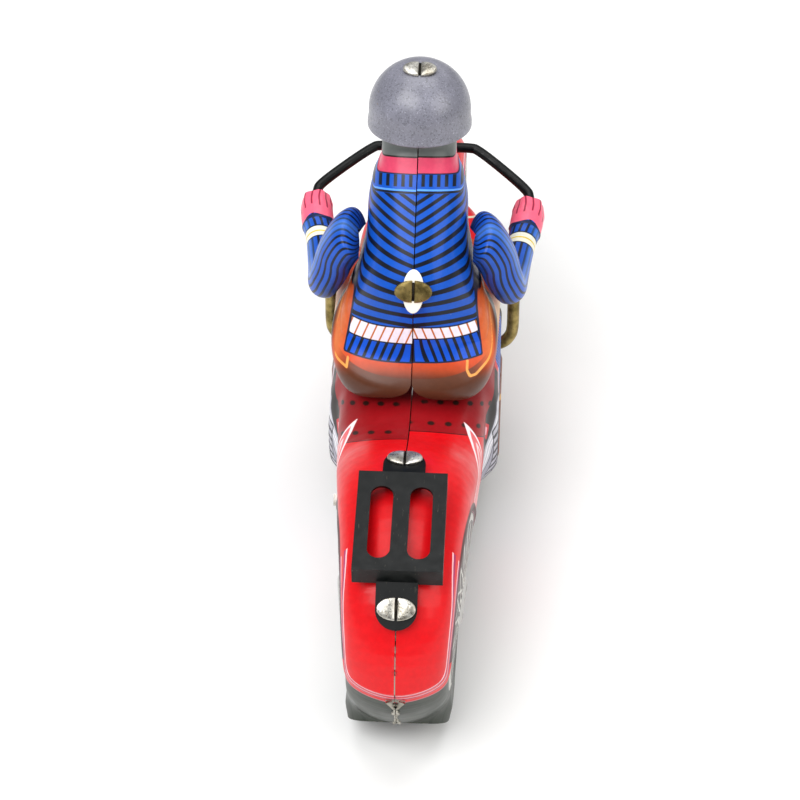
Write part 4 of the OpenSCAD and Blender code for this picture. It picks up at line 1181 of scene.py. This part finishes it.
def clip(name, node, body, centre, tilt, lobe, lift, material):
    # two D-shaped lobes of a split tab folded flat, straight beside the slot, each domed:
    # x = slot + (lobe - slot) cos(a), s = 0.6 lobe sin(a) on the round side
    tilt = math.radians(tilt)
    back = np.array([0, -math.cos(tilt), -math.sin(tilt)])
    outward = np.array([0, -math.sin(tilt), math.cos(tilt)])
    arc = np.radians(np.linspace(-90, 90, 33))
    points, faces = [], []
    for side in (-1, 1):
        x = 0.25 + (lobe - 0.25) * np.cos(arc) ** 0.8
        s = lobe * 0.6 * np.sin(arc) * (1 - 0.12 * np.cos(arc))
        inner = np.linspace(s[-1], s[0], 14)[1:-1]
        x, s = np.concatenate([x, np.full(len(inner), 0.25)]), np.concatenate([s, inner])
        middle = np.array([0.25 + (lobe - 0.25) * 0.45, 0])
        count, levels = len(x), np.array([1.0, 1.0, 0.985, 0.95, 0.88, 0.7, 0.45, 0.2])
        heights = [-0.4, 0.12, 0.27, 0.36, 0.42, 0.5, 0.56, 0.58]
        start = len(points)
        for share, height in zip(levels, heights):
            px = (middle[0] + (x - middle[0]) * share) * side
            ps = s * share
            sunk = height - 0.16 * bell(np.abs(px) - 0.25) * (height > 0)
            points.extend(
                np.array(centre) + np.stack([px, np.zeros(count), np.zeros(count)], 1)
                + ps[:, None] * back + (lift + sunk)[:, None] * outward
            )
        top = len(points)
        points.append(np.array(centre) + np.array([middle[0] * side, 0, 0]) + outward * (lift + 0.58))
        points.append(np.array(centre) + np.array([middle[0] * side, 0, 0]) + outward * (lift - 0.4))
        for j in range(count):
            follow = (j + 1) % count
            for k in range(len(heights) - 1):
                a, b = start + k * count, start + (k + 1) * count
                faces.append([a + j, a + follow, b + follow, b + j])
            last = start + (len(heights) - 1) * count
            faces.append([last + j, last + follow, top])
            faces.append([start + follow, start + j, top + 1])
    # dark stem standing in the slot between the lobes, painted as the shade in the slot
    start, kinds = len(points), [0] * len(faces)
    for s in (-1, 1):
        for x in (-1, 1):
            for height in (-0.4, 0.06):
                p = np.array(centre) + np.array([x * 0.24, 0, 0]) + back * s * lobe * 0.5
                points.append(p + outward * (lift + height))
    box = [[0, 1, 3, 2], [4, 6, 7, 5], [0, 4, 5, 1], [2, 3, 7, 6], [0, 2, 6, 4], [1, 5, 7, 3]]
    faces += [[start + k for k in face] for face in box]
    kinds += [1] * 6
    return recalc(newObject(name, points, faces, body, [material, slotShade], slots=kinds), node)


def recalc(piece, *nodes):
    # drops loose points, makes every face look outwards and hides the CAD nodes it stands for
    bm = bmesh.new()
    bm.from_mesh(piece.data)
    bmesh.ops.delete(bm, geom=[v for v in bm.verts if not v.link_faces], context="VERTS")
    bmesh.ops.recalc_face_normals(bm, faces=bm.faces)
    bm.to_mesh(piece.data)
    bm.free()
    if nodes:
        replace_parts(piece, *nodes)
    return piece


hy, hz = helmet["centre"][1], helmet["centre"][2]
tabTilt, crown = math.radians(7), helmet["radius"]
top = (0, hy - crown * math.sin(tabTilt), hz + crown * math.cos(tabTilt))
clip("helmet_clip", "helmet_tab", "body", top, 7, 3.7, 0.15, nickel)
clip("back_clip", "back_tab", "body", (0, -15.1, 77.6), 62, 4.2, 0.85, dullBrass)
clip("rack_front_clip", "rack_front_tab", "body", (0, -51.2, 60.5), -5, 3.8, 0.2, nickel)
clip("rack_rear_clip", "rack_rear_tab", "body", (0, -87.4, 51.6), 44.7, 4.1, 0.2, nickel)
print("clips made")

low, high = (np.array(p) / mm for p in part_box("back_washer"))
washerMid = (low + high) / 2
washerTilt = math.radians(62)
washerHalf = (high[0] - low[0]) / 2
washerPiece = revolve(
    "enamelled_washer",
    filleted([(-0.3, 0), (-0.3, washerHalf), (0.3, washerHalf), (0.3, 0)], 0.25),
    washerMid,
    (0, -math.sin(washerTilt), math.cos(washerTilt)),
    (1, 0, 0),
    "body",
    [whiteEnamel],
    squash=2.08,
)
recalc(washerPiece, "back_washer")


def fromNode(name, node, body, material, width, segments=3):
    # copy of a plain CAD pressing, merged and given the small radius a die leaves on its edges
    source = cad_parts[node]
    mesh = source.data.copy()
    piece = bpy.data.objects.new(name, mesh)
    piece.matrix_world = source.matrix_world.copy()
    bpy.context.collection.objects.link(piece)
    bm = bmesh.new()
    bm.from_mesh(mesh)
    bmesh.ops.transform(bm, matrix=source.matrix_world, verts=bm.verts)
    bmesh.ops.remove_doubles(bm, verts=bm.verts, dist=1e-6)
    bmesh.ops.dissolve_limit(bm, angle_limit=math.radians(1), verts=bm.verts, edges=bm.edges)
    bm.to_mesh(mesh)
    bm.free()
    piece.matrix_world = Matrix.Identity(4)
    mesh.materials.clear()
    mesh.materials.append(material)
    bevel = piece.modifiers.new("die_radius", "BEVEL")
    bevel.width = width * mm
    bevel.segments = segments
    bevel.limit_method = "ANGLE"
    bevel.angle_limit = math.radians(35)
    mesh.polygons.foreach_set("use_smooth", np.ones(len(mesh.polygons), bool))
    normals = piece.modifiers.new("keep_flats", "WEIGHTED_NORMAL")
    normals.keep_sharp = True
    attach(piece, body)
    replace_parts(piece, node)
    return piece


fromNode("japanned_rack", "luggage_rack", "body", blackJapan, 0.22)
handlePath = [
    (-25.8, 29.6, 64.8),
    (-25.4, 34.6, 66.6),
    (-24.2, 36.8, 67.6),
    (-18.6, 41.8, 69.6),
    (-13, 46.2, 71.3),
]
handlePath += [(-10.6, 47, 71.6), (-5, 47, 71.6), (0, 47, 71.6)]
handlePath += [(-x, y, z) for x, y, z in handlePath[-2::-1]]
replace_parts(wire("japanned_handlebar", handlePath, 1.2, "body", blackJapan), "handlebar")
crashHalf = [
    (10.5, 49),
    (17, 49),
    (19.6, 48.6),
    (21.8, 46.6),
    (22.6, 43.6),
    (22.6, 35),
    (22.6, 27.2),
    (22, 24.2),
]
crashHalf += [(20.2, 21.9), (17, 21), (8, 21), (0, 21)]
crashPath = [(-x, 33.5, z) for x, z in crashHalf] + [(x, 33.5, z) for x, z in crashHalf[-2::-1]]
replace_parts(wire("brassed_crash_bar", crashPath, 1.5, "body", oliveBrass, 260), "crash_bar")
print("wires made")

lampCentre = (0, 51.6, 68.2)
lampOuter = [
    (0, 0),
    (0.5, 2.5),
    (1.7, 4.5),
    (4.2, 6.1),
    (6.4, 6.4),
    (7.9, 6.45),
    (8.1, 7.0),
    (8.7, 7.15),
    (9.35, 6.9),
]
lampOuter += [(9.35, 5.95), (8.7, 5.8), (6.4, 5.75), (4.3, 5.5), (2.1, 3.9), (1.1, 2.2), (0.7, 0)]
bowl = curve(lampOuter[:6], np.linspace(0, 1, 40)).tolist() + lampOuter[6:9] + curve(lampOuter[9:], np.linspace(0, 1, 36)).tolist()
bowl[0][1] = 0
bowl[-1][1] = 0
chrome = metal("plated_lamp_shell", "#B8BCC0", "#7C8186", 0.24, 1.6, 0.2, None, "#5C5648")
lamp = revolve(
    "plated_headlamp",
    filleted(bowl, 0.18, 3),
    lampCentre,
    (0, 1, 0),
    (0, 0, 1),
    "body",
    [chrome],
)
recalc(lamp, "headlamp_shell")
lensProfile = [(7.45, 0), (7.45, 5.6), (8.4, 5.65)] + [
    (7.4 - 9.4 + math.sqrt(12**2 - r * r), r) for r in np.linspace(5.5, 0, 26)
]


def lensGlass():
    # pressed celluloid lens: pale cream, glossy, faintly see-through, with moulded vertical ribs
    m, tree, shader, place = newMaterial("cream_lens")
    shader.inputs["Base Color"].default_value = linear("#F1ECD6")
    shader.inputs["Transmission Weight"].default_value = 0.35
    shader.inputs["IOR"].default_value = 1.49
    ribs = addNode(tree, "ShaderNodeTexWave", {"Scale": 314 / 1.2, "bands_direction": "X"}, {"Vector": place}).outputs["Fac"]
    bump = addNode(tree, "ShaderNodeBump", {"Strength": 0.4, "Distance": 0.00012}, {"Height": ribs}).outputs[0]
    tree.links.new(bump, shader.inputs["Normal"])
    tree.links.new(ramp(tree, noise(tree, place, 3, 3), 0.3, 0.7, 0.12, 0.26), shader.inputs["Roughness"])
    return m


lens = revolve(
    "moulded_lens",
    lensProfile,
    lampCentre,
    (0, 1, 0),
    (0, 0, 1),
    "body",
    [lensGlass()],
)
recalc(lens, "headlamp_lens")


def rubberMaterial():
    # old black rubber: soft sheen, grey bloom on the raised parts, fine dust in the pores
    m, tree, shader, place = newMaterial("old_rubber")
    bloom = ramp(tree, noise(tree, place, 4, 5, 0.6), 0.35, 0.75)
    tree.links.new(mixColour(tree, bloom, linear("#232322"), linear("#454442")), shader.inputs["Base Color"])
    grain = noise(tree, place, 0.35, 3)
    tree.links.new(ramp(tree, grain, 0.3, 0.7, 0.62, 0.85), shader.inputs["Roughness"])
    bump = addNode(tree, "ShaderNodeBump", {"Strength": 0.5, "Distance": 0.00008}, {"Height": grain}).outputs[0]
    tree.links.new(bump, shader.inputs["Normal"])
    return m


rubber = rubberMaterial()


def runningWheel(hubNode, tyreNode, centre, x, width, body, bore, tyreR, ribs=True):
    # turned hub with a dished web, and a rubber ring with rounded shoulders round it
    half = width / 2
    rim = 10.8
    outline = []
    w = half - (0.3 if width > 4 else 0.2)
    dish = w * 0.44 + 0.05
    outline += [(-w, bore), (-w, 3.2), (-(w - dish), 3.8), (-(w - dish), 8.6), (-w, 9.2), (-w, rim)]
    outline += [(-a, r) for a, r in outline[::-1]]
    hub = revolve(
        hubNode + "_turned",
        filleted(outline, 0.3, 5),
        (x, *centre),
        (1, 0, 0),
        (0, 0, 1),
        body,
        [zinc],
    )
    recalc(hub, hubNode)
    shoulder = width * 0.21
    tyre = [(-half, rim), (-half, tyreR - shoulder * 1.3), (-half + shoulder, tyreR)]
    if ribs:
        for k in range(3):
            a = (k - 1) * width * 0.15
            tyre += [(a - 0.25, tyreR), (a - 0.1, tyreR - 0.22), (a + 0.1, tyreR - 0.22), (a + 0.25, tyreR)]
    tyre += [(half - shoulder, tyreR), (half, tyreR - shoulder * 1.3), (half, rim)]
    ring = revolve(
        tyreNode + "_moulded",
        filleted(tyre, 0.35, 4),
        (x, *centre),
        (1, 0, 0),
        (0, 0, 1),
        body,
        [rubber],
    )
    recalc(ring, tyreNode)


def sizeOf(node):
    low, high = (np.array(p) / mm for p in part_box(node))
    return (low + high) / 2, (high - low) / 2


mid, half = sizeOf("front_tyre")
runningWheel("front_wheel", "front_tyre", mid[1:], 0, half[0] * 2, "front_wheel", 1.75, half[2])
for side, name in ((1, "right"), (-1, "left")):
    mid, half = sizeOf("rear_tyre_" + name)
    runningWheel(
        "rear_hub_" + name,
        "rear_tyre_" + name,
        mid[1:],
        mid[0],
        half[0] * 2,
        "drive_axle",
        1.5,
        half[2],
        False,
    )
print("lamp and wheels made")

# ---------------- movement and small parts ----------------

japanPlate = enamel("japanned_bracket", "#1B201F", "#85806F", 0.32, 0.74)
carried = {
    "clock_brass": (
        clockBrass,
        ["movement_plate_left", "movement_plate_right", "great_wheel", "third_wheel"],
    ),
    "second_brass": (clockBrass, ["second_wheel", "governor", "drive_pinion"]),
    "steel": (
        mildSteel,
        ["movement_pillars", "side_studs", "winding_arbor", "ratchet_wheel", "click", "rear_axle"],
    ),
    "front_steel": (mildSteel, ["front_axle", "steering_pin", "steering_plate", "fork_crown"]),
    "spring": (bluedSteel, ["mainspring", "click_spring"]),
    "tinplate": (innerTin, ["base_plate"]),
    "japan": (japanPlate, ["bar_bracket"]),
}
for finish, nodes in carried.values():
    for node in nodes:
        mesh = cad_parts[node].data
        mesh.materials.clear()
        mesh.materials.append(finish)
print("carried-over parts finished")

# ---------------- floor, light and camera ----------------


def floorMaterial():
    # matt pale board, with the faintest unevenness so the shadow does not look drawn
    m, tree, shader, place = newMaterial("pale_board")
    tone = ramp(tree, noise(tree, place, 90, 3), 0.3, 0.7)
    tree.links.new(mixColour(tree, tone, linear("#F3F3F2"), linear("#F8F8F7")), shader.inputs["Base Color"])
    shader.inputs["Roughness"].default_value = 0.7
    shader.inputs["Specular IOR Level"].default_value = 0.2
    return m


floorMesh = bpy.data.meshes.new("studio_floor")
span, back, height, bend = 2.4, 2.4, 0.3, 0.2
profile = [(-span, 0), (back - bend, 0)]
profile += [(back - bend + bend * math.sin(a), bend - bend * math.cos(a)) for a in np.linspace(0, math.pi / 2, 16)[1:]]
profile += [(back, height)]
verts = [(x, y, z) for y, z in profile for x in (-span, span)]
faces = [[2 * k, 2 * k + 1, 2 * k + 3, 2 * k + 2] for k in range(len(profile) - 1)]
floorMesh.from_pydata(verts, [], faces)
floorMesh.polygons.foreach_set("use_smooth", [True] * len(faces))
floorMesh.materials.append(floorMaterial())
floor = bpy.data.objects.new("studio_floor", floorMesh)
bpy.context.collection.objects.link(floor)

lights = {
    "key": {"at": (-0.35, -0.45, 0.75), "size": (0.7, 0.5), "watts": 6.4, "colour": "#FFFFFF"},
    "fill": {"at": (0.65, -0.35, 0.55), "size": (0.6, 0.6), "watts": 3.0, "colour": "#FFFDF8"},
    "top": {"at": (0.0, 0.15, 0.9), "size": (0.9, 0.6), "watts": 4.6, "colour": "#FFFFFF"},
    "rim": {"at": (0.25, 0.75, 0.5), "size": (0.8, 0.3), "watts": 0.6, "colour": "#FFFFFF"},
}
aim = Vector((-0.0036, -0.003, 0.034))
for name, each in lights.items():
    data = bpy.data.lights.new(name + "_softbox", "AREA")
    data.shape = "RECTANGLE"
    data.size, data.size_y = each["size"]
    data.energy = each["watts"]
    data.color = linear(each["colour"])[:3]
    lamp = bpy.data.objects.new(name + "_softbox", data)
    lamp.location = each["at"]
    lamp.rotation_euler = (aim - lamp.location).to_track_quat("-Z", "Y").to_euler()
    bpy.context.collection.objects.link(lamp)

world = bpy.data.worlds.new("soft_room")
world.use_nodes = True
world.node_tree.nodes["Background"].inputs["Color"].default_value = linear("#F4F6FA")
world.node_tree.nodes["Background"].inputs["Strength"].default_value = 0.3
scene = bpy.context.scene
scene.world = world
scene.view_settings.view_transform = "Standard"

eye = {"azimuth": 3.0, "elevation": 42.0, "distance": 0.600, "lens": 113.85}
a, e = math.radians(eye["azimuth"]), math.radians(eye["elevation"])
away = Vector((math.sin(a) * math.cos(e), -math.cos(a) * math.cos(e), math.sin(e)))
data = bpy.data.cameras.new("studio_camera")
data.lens = eye["lens"]
data.sensor_width = 36
data.clip_start = 0.01
camera = bpy.data.objects.new("studio_camera", data)
camera.location = aim + away * eye["distance"]
camera.rotation_euler = away.to_track_quat("Z", "Y").to_euler()
bpy.context.collection.objects.link(camera)
scene.camera = camera
print("studio made")
